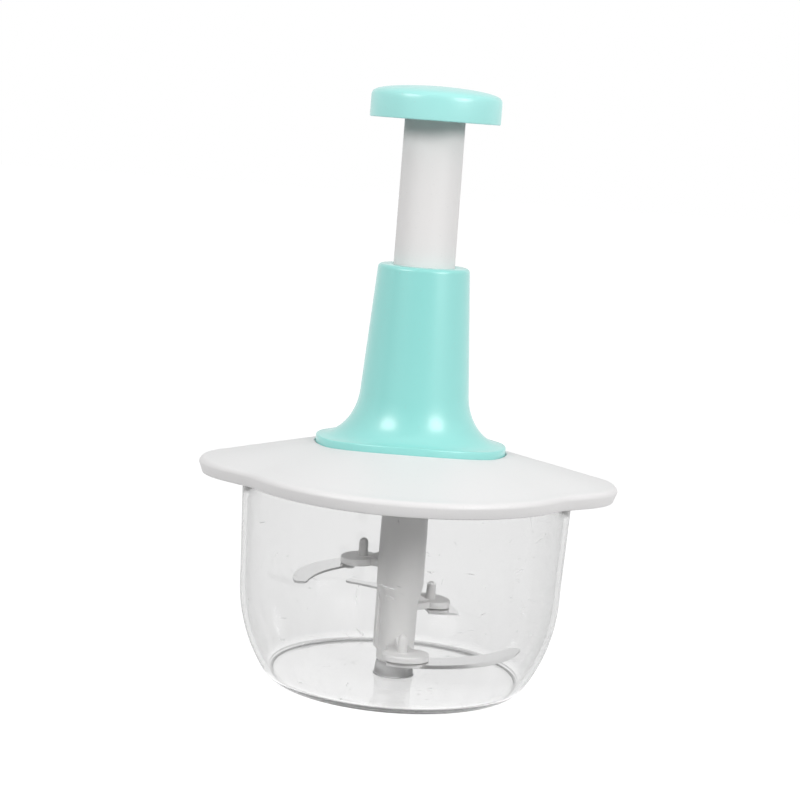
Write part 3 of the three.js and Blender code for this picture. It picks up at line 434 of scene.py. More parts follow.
# Painted sheen: the knob is the tower's mint made lighter and paler
knob_mint_painted_light = moulded_plastic(
    "knob_plastic",
    colour=(0.418, 0.870, 0.832, 1),
    shade=(0.403, 0.855, 0.817, 1),
    roughness=0.38,
    grain=0.02,
    coat=0.4,
)
white = moulded_plastic(
    "white_plastic", colour=(0.84, 0.83, 0.83, 1), shade=(0.82, 0.81, 0.81, 1), roughness=0.42, grain=0.04
)
tube_white = moulded_plastic(
    "tube_plastic", colour=(0.80, 0.785, 0.78, 1), shade=(0.78, 0.765, 0.76, 1), roughness=0.62, grain=0.04
)
shaft_grey = moulded_plastic(
    "shaft_plastic", colour=(0.69, 0.685, 0.68, 1), shade=(0.66, 0.655, 0.65, 1), roughness=0.40, grain=0.05
)
natural = moulded_plastic(
    "bearing_plastic", colour=(0.78, 0.76, 0.70, 1), shade=(0.75, 0.73, 0.67, 1), roughness=0.5, grain=0.06
)
clear = clear_plastic("clear_plastic", colour=grey(0.855), painted_light_floor_colour=grey(0.98))
rubber = soft_rubber("seal_rubber", colour=(0.80, 0.80, 0.78, 1))
blade_steel = ground_steel("blade_steel", grey(0.99), roughness=0.16, streak_scale=(40, 40, 40))
edge_steel = ground_steel("ground_edge", grey(0.95), roughness=0.24, streak_scale=(900, 900, 60))
cut_steel = ground_steel("cut_steel", grey(0.42), roughness=0.45, streak_scale=(300, 300, 40))
pin_steel = ground_steel("pin_steel", grey(0.86), roughness=0.22, streak_scale=(60, 60, 700))
plain_steel = ground_steel("plain_steel", (0.56, 0.57, 0.58, 1), roughness=0.32, streak_scale=(70, 70, 900))


# Making pieces

sharp_angle = math.radians(40)
merge_distance = 0.002 * mm
on_edge = Matrix.Rotation(math.pi / 2, 4, "X")


def about_z(degrees):
    return Matrix.Rotation(math.radians(degrees), 4, "Z")


def at_height(z):
    return Matrix.Translation((0, 0, z))


def moved(mesh, matrix):
    bmesh.ops.transform(mesh, matrix=matrix, verts=mesh.verts)
    return mesh


def cleaned(mesh):
    bmesh.ops.remove_doubles(mesh, verts=mesh.verts, dist=merge_distance)
    bmesh.ops.recalc_face_normals(mesh, faces=mesh.faces)
    return mesh


def bevelled(mesh, parts, affect, width):
    settings = {"affect": affect, "segments": 3, "profile": 0.5, "material": -1}
    bmesh.ops.bevel(mesh, geom=parts, offset=width, **settings)


def turned(mesh, steps):
    """The outline in the bmesh, turned right round the Z axis."""
    settings = {"axis": (0, 0, 1), "cent": (0, 0, 0), "angle": turn, "steps": steps}
    bmesh.ops.spin(mesh, geom=[*mesh.verts, *mesh.edges], use_merge=True, **settings)


def closed_spin(profile, steps, corner_radius=0.0):
    """A bmesh turned about the Z axis from a profile of (radius, height), which ends where it
    starts or has both its ends on the axis."""
    mesh = bmesh.new()
    points = [mesh.verts.new((radius, 0, z)) for radius, z in profile]
    on_axis = profile[0][0] == 0 and profile[-1][0] == 0
    for pair in zip(points, points[1:] if on_axis else points[1:] + points[:1]):
        mesh.edges.new(pair)
    if corner_radius:
        bevelled(mesh, [v for v in points if v.co.x > 0], "VERTICES", corner_radius)
    turned(mesh, steps)
    return cleaned(mesh)


def shaped_spin(profile_at, steps):
    """A bmesh turned about the Z axis whose profile changes with the angle: each point of the spin
    is moved to its place in the profile for its angle."""
    mesh = bmesh.new()
    place = mesh.verts.layers.int.new("place")
    points = [mesh.verts.new((radius, 0, z)) for radius, z in profile_at(0)]
    for i, point in enumerate(points):
        point[place] = i
    for pair in zip(points, points[1:] + points[:1]):
        mesh.edges.new(pair)
    turned(mesh, steps)
    profiles = {}
    for v in mesh.verts:
        angle = math.atan2(v.co.y, v.co.x)
        key = round(angle, 5)
        if key not in profiles:
            profiles[key] = profile_at(angle)
        radius, z = profiles[key][v[place]]
        v.co = (radius * math.cos(angle), radius * math.sin(angle), z)
    mesh.verts.layers.int.remove(place)
    return cleaned(mesh)


def swept(sections):
    """A bmesh bar through the sections, each with the same number of corners."""
    mesh = bmesh.new()
    place = mesh.verts.layers.int.new("place")
    corners = [mesh.verts.new(corner) for corner in sections[0]]
    for i, corner in enumerate(corners):
        corner[place] = i
    face = mesh.faces.new(corners)
    for section in sections[1:]:
        grown = bmesh.ops.extrude_face_region(mesh, geom=[face])["geom"]
        face = next(part for part in grown if isinstance(part, bmesh.types.BMFace))
        for corner in face.verts:
            corner.co = section[corner[place]]
    mesh.verts.layers.int.remove(place)
    return cleaned(mesh)


def raised(outline, low_z, high_z, edge_round=0.0):
    """A bmesh plate with an outline in XY between two heights, with its sharp edges rounded."""
    mesh = swept([[(x, y, z) for x, y in outline] for z in (low_z, high_z)])
    if edge_round:
        sharp = [edge for edge in mesh.edges if edge.calc_face_angle() > sharp_angle]
        bevelled(mesh, sharp, "EDGES", edge_round)
    return cleaned(mesh)


def upper_corner(radius, z, rounding, count):
    """The rounded upper outer corner of a profile, from its side to its top."""
    return [
        (radius - rounding + rounding * math.cos(a), z - rounding + rounding * math.sin(a))
        for a in quarter_turn(count)
    ]


def lower_corner(radius, z, rounding, count):
    """The rounded lower outer corner of a profile, from its foot to its side."""
    return [
        (radius - rounding + rounding * math.sin(a), z + rounding - rounding * math.cos(a))
        for a in quarter_turn(count)
    ]


def placed(name, data):
    made = bpy.data.objects.new(name, data)
    bpy.context.scene.collection.objects.link(made)
    return made


def in_scene(name, mesh):
    """An object with the bmesh in it, which is used up."""
    data = bpy.data.meshes.new(name)
    mesh.to_mesh(data)
    mesh.free()
    return placed(name, data)


def carved(block, tools, operation="DIFFERENCE"):
    """The bmesh with the tools cut away, or joined on."""
    made = [in_scene("work", mesh) for mesh in [block, *tools]]
    for tool in made[1:]:
        modifier = made[0].modifiers.new("carving", "BOOLEAN")
        modifier.operation = operation
        modifier.solver = "EXACT"
        modifier.object = tool
    result = bmesh.new()
    result.from_object(made[0], bpy.context.evaluated_depsgraph_get())
    for work in made:
        data = work.data
        bpy.data.objects.remove(work)
        bpy.data.meshes.remove(data)
    return cleaned(result)


def piece(name, mesh, finishes, body, node, smooth_angle=32):
    """A finished object that rides on a body and stands for the CAD node."""
    made = in_scene(name, mesh)
    for material in finishes:
        made.data.materials.append(material)
    made.data.shade_smooth()
    made.data.set_sharp_from_angle(angle=math.radians(smooth_angle))
    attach(made, body)
    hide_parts(node)
    return made


# Bowl

bowl_sides = 144
toe_power = 1.8
toe_steps = 9
height_crowding = 1.4
curve_steps = 22
straight_steps = 4
rim_rounding = 0.7 * mm
rim_steps = 4
flat_margin = 0.6 * mm
boss_toe = 0.6 * mm
boss_round = 0.4 * mm
boss_top_radius = 8.5 * mm
boss_top_z = 8.6 * mm
pin_socket_z = 1.4 * mm


def bowl_outside(z):
    if z > belly_z:
        return blended(belly_radius, bowl_radius, (z - belly_z) / (bowl_height - belly_z))
    return belly_radius - (belly_radius - toe_radius) * (1 - z / belly_z) ** bowl_power


def bowl_inside(z):
    share = max(0, 1 - z / belly_z)
    slope = (belly_radius - toe_radius) * bowl_power * share ** (bowl_power - 1) / belly_z
    return bowl_outside(z) - bowl_wall * math.hypot(1, slope)


def turned_up(flat_radius, wall_radius, flat_z, rise):
    """The curve from a flat floor up to the wall."""
    return [
        (blended(flat_radius, wall_radius, s), flat_z + rise * s ** toe_power) for s in shares(toe_steps)
    ]


def wall_heights(from_z):
    """Heights up the wall, close together near the floor."""
    rise = belly_z - from_z
    curve = [from_z + rise * s ** height_crowding for s in shares(curve_steps)[1:]]
    straight = [blended(belly_z, bowl_height - rim_rounding, s) for s in shares(straight_steps)[1:]]
    return curve + straight


def make_bowl():
    floor_top_z = floor_z + floor_rise
    rim = upper_corner(bowl_radius, bowl_height, rim_rounding, rim_steps)[1:]
    outside = [(0, 0), (foot_radius / 2, 0), (foot_radius - flat_margin, 0)]
    outside += turned_up(foot_radius, bowl_outside(foot_rise), 0, foot_rise)
    outside += [(bowl_outside(z), z) for z in wall_heights(foot_rise)]
    inside = turned_up(floor_edge_radius, bowl_inside(floor_top_z), floor_z, floor_rise)
    inside += [(bowl_inside(z), z) for z in wall_heights(floor_top_z)]
    wall_middle = bowl_radius - bowl_wall / 2
    inside += [(2 * wall_middle - radius, z) for radius, z in rim]
    pin_hole = reach("pivot_pin") + seat_gap
    boss = [
        (floor_edge_radius - flat_margin, floor_z),
        (floor_edge_radius / 2, floor_z),
        (boss_radius, floor_z),
        (boss_radius - boss_toe, floor_z),
        (boss_radius - boss_toe - boss_round, floor_z + boss_round),
        (boss_top_radius, boss_top_z - boss_round),
        (boss_top_radius - boss_round, boss_top_z),
        (pin_hole, boss_top_z),
        (pin_hole, pin_socket_z),
        (0, pin_socket_z),
    ]
    mesh = closed_spin(outside + rim + inside[::-1] + boss, bowl_sides)
    piece("bowl_shell", mesh, [clear], "base", "bowl")


# Lid

lid_sides = 240
lid_low_z = foot_z("lid_shell")
lid_edge_rise = 1.7 * mm
lid_edge_z = bowl_height + lid_edge_rise
lid_overhang = 3.3 * mm
lid_radius = bowl_radius + lid_overhang
ear_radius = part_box("lid_shell")[1].x
tower_half_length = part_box("tower_housing")[1].x
tower_half_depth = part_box("tower_housing")[1].y
ear_half_angle = math.radians(31.5)
ear_power = 1.15
edge_round = 2.7 * mm
edge_steps = 8
lid_low_round = 0.6 * mm
lid_edge_draft = 1.5 * mm
crown_radius = 33 * mm
crown_rise = 13.2 * mm
crown_z = lid_edge_z + crown_rise
crown_bulge = 0.2 * mm
cone_steps = 12
lid_wall = 2.2 * mm
lid_hole_radius = 15 * mm
deck = 2.6 * mm
recess_depth = 1 * mm
recess_gap = 0.5 * mm
recess_edge_width = 0.4 * mm
recess_edge_drop = 0.3 * mm
ear_roof = 2.5 * mm
skirt_lift = 0.5 * mm
skirt_low_z = lid_low_z + skirt_lift
seal_room = 2.1 * mm
skirt_outer = bowl_inside(skirt_low_z) - seal_room
skirt_wall = 1.8 * mm
skirt_inner = skirt_outer - skirt_wall
skirt_lip = 0.9 * mm
skirt_lip_height = 0.5 * mm
groove_top_z = bowl_height + seat_gap
groove_outer = lid_radius - lid_wall
low_corner_steps = 3
seal_sides = 144
seal_lip = 0.5 * mm
seal_round = 0.12 * mm
# The ribs and the hollows under an ear, in degrees from its middle
ear_rib = 6.8
ear_rib_half = 0.7
ear_pocket_end = 19
ear_pocket_steps = 10


def lid_outline(angle):
    """The lid's outline seen from above: a circle with a rounded ear on each side."""
    from_ear = abs(math.atan2(math.sin(angle), abs(math.cos(angle))))
    share = min(1, from_ear / ear_half_angle)
    ear = math.cos(share ** ear_power * math.pi / 2) ** 2
    return lid_radius + (ear_radius - lid_radius) * ear


def lid_top(angle, radius):
    edge = lid_outline(angle) - edge_round
    share = min(1, max(0, (edge - radius) / (edge - crown_radius)))
    return lid_edge_z + (crown_z - lid_edge_z) * share + crown_bulge * math.sin(share * math.pi)


def oval_radius(angle):
    """The tower's oval foot, seen from above."""
    return 1 / math.hypot(math.cos(angle) / tower_half_length, math.sin(angle) / tower_half_depth)


def lid_profile(angle):
    outline = lid_outline(angle)
    recess = oval_radius(angle) + recess_gap
    cone = [blended(outline - edge_round, recess + recess_edge_width, s) for s in shares(cone_steps)[1:]]
    return [
        *lower_corner(outline - lid_edge_draft, lid_low_z, lid_low_round, low_corner_steps),
        *upper_corner(outline, lid_edge_z, edge_round, edge_steps),
        *[(radius, lid_top(angle, radius)) for radius in cone],
        (recess, lid_top(angle, recess) - recess_edge_drop),
        (recess, lid_top(angle, recess) - recess_depth),
        (crown_radius, crown_z - recess_depth),
        (lid_hole_radius, crown_z - recess_depth),
        (lid_hole_radius, crown_z - deck),
        (crown_radius, crown_z - deck),
        (skirt_inner, lid_top(angle, skirt_inner) - deck),
        (skirt_inner, skirt_low_z),
        (skirt_outer + skirt_lip, skirt_low_z),
        (skirt_outer + skirt_lip, skirt_low_z + skirt_lip_height),
        (skirt_outer, skirt_low_z + skirt_lip_height),
        (skirt_outer, groove_top_z),
        (groove_outer, groove_top_z),
        (groove_outer, lid_low_z),
    ]


def ear_pocket(from_degrees, to_degrees):
    """The hollow under an ear between two of its ribs."""
    angles = [math.radians(blended(from_degrees, to_degrees, s)) for s in shares(ear_pocket_steps)]
    inner = [(groove_outer + lid_wall, a) for a in angles]
    outer = [(lid_outline(a) - lid_wall, a) for a in angles]
    outline = [(r * math.cos(a), r * math.sin(a)) for r, a in outer + inner[::-1]]
    return raised(outline, lid_low_z - lid_wall, lid_edge_z - ear_roof)


def make_lid():
    rib_start, rib_end = ear_rib - ear_rib_half, ear_rib + ear_rib_half
    hollows = [(-ear_pocket_end, -rib_end), (-rib_start, rib_start), (rib_end, ear_pocket_end)]
    pockets = [ear_pocket(side + low, side + high) for side in (0, 180) for low, high in hollows]
    mesh = carved(shaped_spin(lid_profile, lid_sides), pockets)
    piece("lid_cover", mesh, [white], "head", "lid_shell")


def make_seal():
    outer = reach("lid_seal")
    low, top = foot_z("lid_seal"), top_z("lid_seal")
    inner = outer - 3 * seal_lip
    profile = [
        (inner, low),
        (outer - seal_lip, low),
        (outer, low + seal_lip),
        (outer - seal_lip, low + 2 * seal_lip),
        (outer - seal_lip, top),
        (inner, top),
    ]
    mesh = closed_spin(profile, seal_sides, seal_round)
    piece("seal_ring", mesh, [rubber], "head", "lid_seal")


# Tower

tower_sides = 160
tower_top_z = top_z("tower_housing")
tube_radius = 13.95 * mm
tower_wall = 2.2 * mm
tower_roof = 2.4 * mm
tower_top_radius = 20.7 * mm
flare_rise = 22.2 * mm
flare_z = crown_z + flare_rise
flare_out = 4.1 * mm
flare_radius = tower_top_radius + flare_out
skirt_steps = 16
rim_height = 3.1 * mm
rim_round = 0.8 * mm
top_round = 1.8 * mm
top_round_steps = 7
tower_hole = tube_radius + run_gap
hole_edge = 0.4 * mm
guide_rib_width = 3 * mm
guide_rib_gap = 2.05 * mm
guide_rib_reach = tube_radius + guide_rib_gap
guide_rib_drop = 1.2 * mm


def tower_taper(z):
    return blended(flare_radius, tower_top_radius, (z - flare_z) / (tower_top_z - flare_z))


def skirt_place(angle, share):
    """A place on the skirt's outer face, and the place on its inner face behind it."""
    foot = oval_radius(angle)
    rim_z = lid_top(angle, foot) + rim_height
    height = flare_z - rim_z
    out = foot - rim_round - tower_taper(rim_z)
    bend = share * math.pi / 2
    z = flare_z - height * math.sin(bend)
    radius = tower_taper(z) + out * (1 - math.cos(bend))
    normal = Vector((height * math.cos(bend), out * math.sin(bend))).normalized()
    return (radius, z), (radius - tower_wall * normal.x, z - tower_wall * normal.y)


def tower_profile(angle):
    foot = oval_radius(angle)
    inner_foot = foot - tower_wall
    rim_z = lid_top(angle, foot) + rim_height
    skirt = [skirt_place(angle, s) for s in shares(skirt_steps)]
    roof_z = tower_top_z - tower_roof
    sunk = recess_depth - seat_gap
    return [
        (inner_foot, lid_top(angle, inner_foot) - sunk),
        (foot, lid_top(angle, foot) - sunk),
        *upper_corner(foot, rim_z, rim_round, rim_steps),
        *[outer for outer, _ in skirt[-2::-1]],
        *upper_corner(tower_taper(tower_top_z - top_round), tower_top_z, top_round, top_round_steps),
        (tower_hole + hole_edge, tower_top_z),
        (tower_hole, tower_top_z - hole_edge),
        (tower_hole, roof_z),
        (tower_taper(roof_z) - tower_wall, roof_z),
        *[inner for _, inner in skirt[::3]],
    ]


def guide_rib(side):
    """A rib inside the tower, which keeps the tube from turning."""
    low_z = crown_z - recess_depth + seat_gap
    high_z = tower_top_z - guide_rib_drop
    root = tower_taper(tower_top_z) - tower_wall / 2
    low_root = tower_taper(flare_z) - tower_wall / 2
    outline = [
        (guide_rib_reach, low_z),
        (low_root, low_z),
        (low_root, flare_z),
        (root, high_z),
        (guide_rib_reach, high_z),
    ]
    rib = raised(outline, -guide_rib_width / 2, guide_rib_width / 2)
    return moved(rib, about_z(90 * side) @ on_edge)


def make_tower():
    mesh = carved(shaped_spin(tower_profile, tower_sides), [guide_rib(1), guide_rib(-1)], "UNION")
    piece("tower_shell", mesh, [mint], "head", "tower_housing")


# Knob and tube

knob_sides = 128
knob_low_z = foot_z("knob")
knob_top_z = top_z("knob")
knob_radius = reach("knob")
knob_band = 8.5 * mm
knob_wall = 2.2 * mm
knob_low_round = 0.6 * mm
knob_power = 4
knob_fullness = 0.6
crown_steps = 26
knob_inner_steps = 14
sleeve_rise = 2.1 * mm
knob_rib_half = 0.7 * mm
knob_rib_rise = 4 * mm
knob_rib_sunk = 1.5 * mm
knob_rib_round = 0.3 * mm
knob_ribs = 6
tube_sides = 96
tube_taper = 0.35 * mm
tube_top_radius = tube_radius - tube_taper
tube_wall = 2.5 * mm
tube_nut_wall = 1.8 * mm
tube_flange = 3.1 * mm
tube_round = 0.15 * mm
web_drop = 6.8 * mm
web_thickness = 2 * mm
screw_hole = 1.7 * mm
notch_over = 1 * mm


def knob_crown(radius, height, count):
    """The knob's crown, from the top of its band to its middle."""
    band_z = knob_low_z + knob_band
    rises = [math.sqrt(math.sin(a)) for a in quarter_turn(count)]
    return [(radius * (1 - s ** knob_power) ** knob_fullness, band_z + height * s) for s in rises]


def make_knob():
    height = knob_top_z - knob_low_z - knob_band
    sleeve = tube_top_radius + run_gap
    sleeve_outer = sleeve + knob_wall
    sleeve_z = knob_low_z + sleeve_rise
    roof_z = top_z("plunger_tube") + seat_gap
    outer = knob_crown(knob_radius, height, crown_steps)
    inner = knob_crown(knob_radius - knob_wall, height - knob_wall, knob_inner_steps)
    inner = [place for place in inner if place[0] > sleeve_outer]
    profile = [
        (0, roof_z),
        (sleeve, roof_z),
        (sleeve, sleeve_z),
        (sleeve_outer, sleeve_z),
        (sleeve_outer, inner[-1][1]),
        *inner[::-1],
        (knob_radius - knob_wall, knob_low_z),
        *lower_corner(knob_radius, knob_low_z, knob_low_round, low_corner_steps),
        *outer[:-1],
        (0, knob_top_z),
    ]
    root, end = sleeve + knob_wall / 2, knob_radius - knob_wall / 2
    outline = [(root, -knob_rib_half), (end, -knob_rib_half), (end, knob_rib_half), (root, knob_rib_half)]
    low_z, high_z = knob_low_z + knob_rib_rise, knob_low_z + knob_band + knob_rib_sunk
    ribs = [
        moved(raised(outline, low_z, high_z, knob_rib_round), about_z(360 / knob_ribs * i))
        for i in range(knob_ribs)
    ]
    mesh = carved(closed_spin(profile, knob_sides), ribs, "UNION")
    piece("knob_cap", mesh, [knob_mint_painted_light], "plunger", "knob")


def tube_notch(side, low_z, high_z):
    """The cut in the tube's flange that a guide rib of the tower runs in."""
    half = guide_rib_width / 2 + run_gap
    inner, outer = side * (guide_rib_reach - run_gap), side * 2 * tube_radius
    outline = [(-half, inner), (half, inner), (half, outer), (-half, outer)]
    return raised(outline, low_z, high_z)


def make_tube():
    low_z = foot_z("plunger_tube")
    high_z = top_z("plunger_tube")
    flange_z = low_z + tube_flange
    bore = tube_radius - tube_wall
    nut_bore = tube_radius - tube_nut_wall
    nut_shelf_z = top_z("drive_nut") + seat_gap
    web_z = high_z - web_drop
    profile = [
        (nut_bore, low_z),
        (reach("plunger_tube"), low_z),
        (reach("plunger_tube"), flange_z),
        (tube_radius, flange_z),
        (tube_top_radius, high_z),
        (bore, high_z),
        (bore, web_z + web_thickness),
        (screw_hole, web_z + web_thickness),
        (screw_hole, web_z),
        (bore, web_z),
        (bore, nut_shelf_z),
        (nut_bore, nut_shelf_z),
    ]
    notches = [tube_notch(side, low_z - notch_over, flange_z + notch_over) for side in (1, -1)]
    mesh = carved(closed_spin(profile, tube_sides, tube_round), notches)
    piece("tube_sleeve", mesh, [tube_white], "plunger", "plunger_tube")


# Return spring

spring_turns = 8
spring_steps = 28
spring_wire = 0.6 * mm
wire_sides = 10
spring_end_pitch = 2 * mm


def spring_height(turns, low_z, high_z):
    """How high the wire is after some turns: an end turn at each end, and even turns between."""
    even_pitch = (high_z - low_z - 2 * spring_end_pitch) / (spring_turns - 2)
    ends = min(turns, 1) + max(0, turns - spring_turns + 1)
    even = min(max(turns - 1, 0), spring_turns - 2)
    return low_z + ends * spring_end_pitch + even * even_pitch


def wire_section(angle, radius, z):
    """A ring of corners round the wire, at an angle of its coil."""
    out = Vector((math.cos(angle), math.sin(angle), 0))
    middle = out * radius + Vector((0, 0, z))
    up = Vector((0, 0, spring_wire))
    return [middle + out * spring_wire * math.cos(a) + up * math.sin(a) for a in full_turn(wire_sides)]


def make_spring():
    """The coil spring, which rides on the plunger with a mesh of its own; the share it would be squashed to
    is worked out but not used.
    """
    fixed_z = top_z("return_spring")
    low_z = foot_z("return_spring") + spring_wire
    high_z = fixed_z - spring_wire
    radius = reach("return_spring") - spring_wire
    sections = []
    for share in shares(spring_turns * spring_steps):
        turns = share * spring_turns
        sections.append(wire_section(turns * turn, radius, spring_height(turns, low_z, high_z)))
    made = piece("coil_spring", swept(sections), [plain_steel], "plunger", "return_spring")
    travel = next(joint["range_m"][1] for joint in frame["joints"] if joint["name"] == "plunger_press")
    length = fixed_z - foot_z("return_spring")
    1 - travel / length
    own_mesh(made)


# Blades

blade_names = ["upper", "middle", "lower"]
blade_angles = [145, 38, -63]
blade_thickness = 1 * mm
blade_past_floor = 3.7 * mm
blade_reach = floor_edge_radius + blade_past_floor
blade_steps = 40
tip_steps = 16
grind_width = 2.4 * mm
edge_land = 0.15 * mm
upright_slope = 0.05
level_slope = 0.98
# The share of a blade's length over which its ground edge runs out at the tip
grind_end = 0.125
# The arcs of a blade's two long edges: centre and radius as shares of its reach, then the angles
# of their root and tip in degrees
edge_arc = (-0.333, 0.2815, 0.9056, -37, 48)
back_arc = (-0.752, 0.381, 1.078, -29.4, 29.4)


def blade_z(level):
    low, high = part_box("blade_" + blade_names[level])
    return (low.z + high.z) / 2


def on_arc(arc, share):
    x, y, radius, root, tip = arc
    angle = math.radians(blended(root, tip, share))
    return blade_reach * Vector((x + radius * math.cos(angle), y + radius * math.sin(angle)))


def blade_section(back, edge, ground):
    """A section across a blade: a flat bar with its cutting edge ground on top."""
    half = blade_thickness / 2
    land_z = half - (blade_thickness - edge_land) * ground
    shoulder = edge.lerp(back, min(0.5, grind_width / (edge - back).length))
    places = [(back, -half), (edge, -half), (edge, land_z), (shoulder, half), (back, half)]
    return [(place.x, place.y, z) for place, z in places]


def tip_sections():
    """The sections of a blade's rounded tip, across a half circle between its two edges."""
    back, edge = on_arc(back_arc, 1), on_arc(edge_arc, 1)
    middle = back.lerp(edge, 0.5)
    across = edge - middle
    along = Vector((-across.y, across.x))
    sections = []
    for share in shares(tip_steps)[1:-1]:
        bend = math.sin(share * math.pi / 2) * math.pi / 2
        spine = middle + along * math.sin(bend)
        half = across * math.cos(bend)
        sections.append(blade_section(spine - half, spine + half, 0))
    return sections


def blade_finish(slope):
    """The number of a face's finish: 0 on the flats, 1 on the ground bevel, 2 on the cut sides."""
    if abs(slope) < upright_slope:
        return 2
    return 1 if 0 < slope < level_slope else 0


def make_blade(level):
    sections = [
        blade_section(on_arc(back_arc, s), on_arc(edge_arc, s), min(1, (1 - s) / grind_end))
        for s in shares(blade_steps)
    ]
    mesh = swept(sections + tip_sections())
    for face in mesh.faces:
        face.material_index = blade_finish(face.normal.z)
    moved(mesh, at_height(blade_z(level)) @ about_z(blade_angles[level]))
    node = "blade_" + blade_names[level]
    name = node.replace("blade", "curved_blade")
    finishes = [blade_steel, edge_steel, cut_steel]
    piece(name, mesh, finishes, "blade_unit", node, smooth_angle=12)


# Blade shaft with its arms

shaft_sides = 96
shaft_foot_z = foot_z("blade_shaft")
shaft_top_z = top_z("blade_shaft")
shaft_foot_radius = 8.55 * mm
shaft_top_radius = 9.9 * mm
shaft_round = 0.5 * mm
collar_radius = 10.8 * mm
collar_taper = 8 * mm
socket_across = 10.2 * mm
socket_depth = 13.4 * mm
socket_over = 1 * mm
arm_angles = [160, 40, -80]
bore_margin = 0.05 * mm
arm_start = reach("shaft_bush") + seat_gap + bore_margin
pad_centre = (20.5 * mm, 1.5 * mm)
pad_half_width = 8.2 * mm
pad_half_length = 10.8 * mm
pad_thickness = 3.2 * mm
pad_round = 0.6 * mm
pad_sides = 56
neck_half_width = 5.5 * mm
neck_inset = 0.05 * mm
neck_round = 0.4 * mm
peg_x = 19.3 * mm
peg_radius = 2.4 * mm
peg_top_radius = 2.1 * mm
peg_height = 8.3 * mm
peg_sides = 32
peg_steps = 6
gusset_height = 4 * mm
gusset_reach = 17 * mm
gusset_half_width = 1.6 * mm
small_round = 0.3 * mm
stake_radius = 1.5 * mm
stake_head_radius = 2.6 * mm
stake_head_flat = 1.9 * mm
stake_head_height = 1.1 * mm
stake_head_side = 0.5 * mm
stake_head_dome = 0.1 * mm
stake_sides = 28
stakes = [(0.3725 * blade_reach, -0.058 * blade_reach), (0.397 * blade_reach, 0.0745 * blade_reach)]
side_rib_reach = 10.45 * mm
side_rib_half_width = 1.7 * mm
side_rib_angle = 196
pin_sides = 40
pin_steps = 8


def shaft_radius(z):
    return blended(shaft_foot_radius, shaft_top_radius, (z - shaft_foot_z) / (shaft_top_z - shaft_foot_z))


def make_stake(place, high_z):
    """A stake through the blade, with its flat head below."""
    x, y = place
    head_z = -blade_thickness / 2 - seat_gap
    profile = [
        (0, head_z - stake_head_height),
        (stake_head_flat, head_z - stake_head_height + stake_head_dome),
        (stake_head_radius, head_z - stake_head_side),
        (stake_head_radius, head_z),
        (stake_radius, head_z),
        (stake_radius, high_z),
        (0, high_z),
    ]
    return moved(closed_spin(profile, stake_sides), Matrix.Translation((x, y, 0)))


def make_arm(shaft_surface):
    """The parts of one arm, along +X, with its blade's middle plane at height zero."""
    low_z = blade_thickness / 2 + seat_gap
    high_z = low_z + pad_thickness
    middle_z = (low_z + high_z) / 2
    peg_top_z = high_z + peg_height
    gusset_z = high_z + gusset_height
    x, y = pad_centre
    oval = [
        (x + pad_half_width * math.cos(a), y + pad_half_length * math.sin(a))
        for a in full_turn(pad_sides)
    ]
    neck = [
        (arm_start, -neck_half_width),
        (x, -neck_half_width),
        (x, neck_half_width),
        (arm_start, neck_half_width),
    ]
    gusset = [
        (arm_start, middle_z),
        (gusset_reach, middle_z),
        (gusset_reach, high_z),
        (shaft_surface, gusset_z),
        (arm_start, gusset_z),
    ]
    dome = upper_corner(peg_top_radius, peg_top_z, peg_top_radius, peg_steps)[:-1]
    peg = closed_spin([(0, middle_z), (peg_radius, middle_z), *dome, (0, peg_top_z)], peg_sides)
    return [
        raised(oval, low_z, high_z, pad_round),
        raised(neck, low_z + neck_inset, high_z - neck_inset, neck_round),
        moved(peg, Matrix.Translation((peg_x, 0, 0))),
        moved(raised(gusset, -gusset_half_width, gusset_half_width, small_round), on_edge),
        *[make_stake(place, middle_z) for place in stakes],
    ]


def make_side_rib():
    """The upright rib on the side of the shaft, from the lowest arm to the highest."""
    low_z, high_z = blade_z(2), blade_z(0) - blade_thickness
    outline = [
        (arm_start, low_z),
        (shaft_radius(low_z), low_z),
        (side_rib_reach, low_z + side_rib_reach - shaft_foot_radius),
        (side_rib_reach, high_z),
        (arm_start, high_z),
    ]
    rib = raised(outline, -side_rib_half_width, side_rib_half_width, small_round)
    return moved(rib, about_z(side_rib_angle) @ on_edge)


def make_blade_shaft():
    pin_bore = reach("pivot_pin") + run_gap
    pin_end_z = top_z("pivot_pin") + seat_gap
    bush_bore = reach("shaft_bush") + seat_gap
    bush_end_z = top_z("shaft_bush") + seat_gap
    collar_z = blade_z(1) + blade_thickness + pad_thickness + shaft_round
    profile = [
        (0, pin_end_z),
        (pin_bore, pin_end_z),
        (pin_bore, bush_end_z),
        (bush_bore, bush_end_z),
        (bush_bore, shaft_foot_z),
        (shaft_foot_radius - shaft_round, shaft_foot_z),
        (shaft_foot_radius, shaft_foot_z + shaft_round),
        (shaft_radius(collar_z), collar_z),
        (collar_radius, collar_z + collar_taper),
        (collar_radius, shaft_top_z - shaft_round),
        (collar_radius - shaft_round, shaft_top_z),
        (0, shaft_top_z),
    ]
    parts = []
    for level, angle in enumerate(arm_angles):
        place = at_height(blade_z(level)) @ about_z(angle)
        parts += [moved(part, place) for part in make_arm(shaft_radius(blade_z(level)))]
    mesh = carved(closed_spin(profile, shaft_sides), [*parts, make_side_rib()], "UNION")
    corner = socket_across / math.sqrt(3)
    hexagon = [(corner * math.cos(a), corner * math.sin(a)) for a in full_turn(6)]
    mesh = carved(mesh, [raised(hexagon, shaft_top_z - socket_depth, shaft_top_z + socket_over)])
    piece("shaft_core", mesh, [shaft_grey], "blade_unit", "blade_shaft", smooth_angle=36)


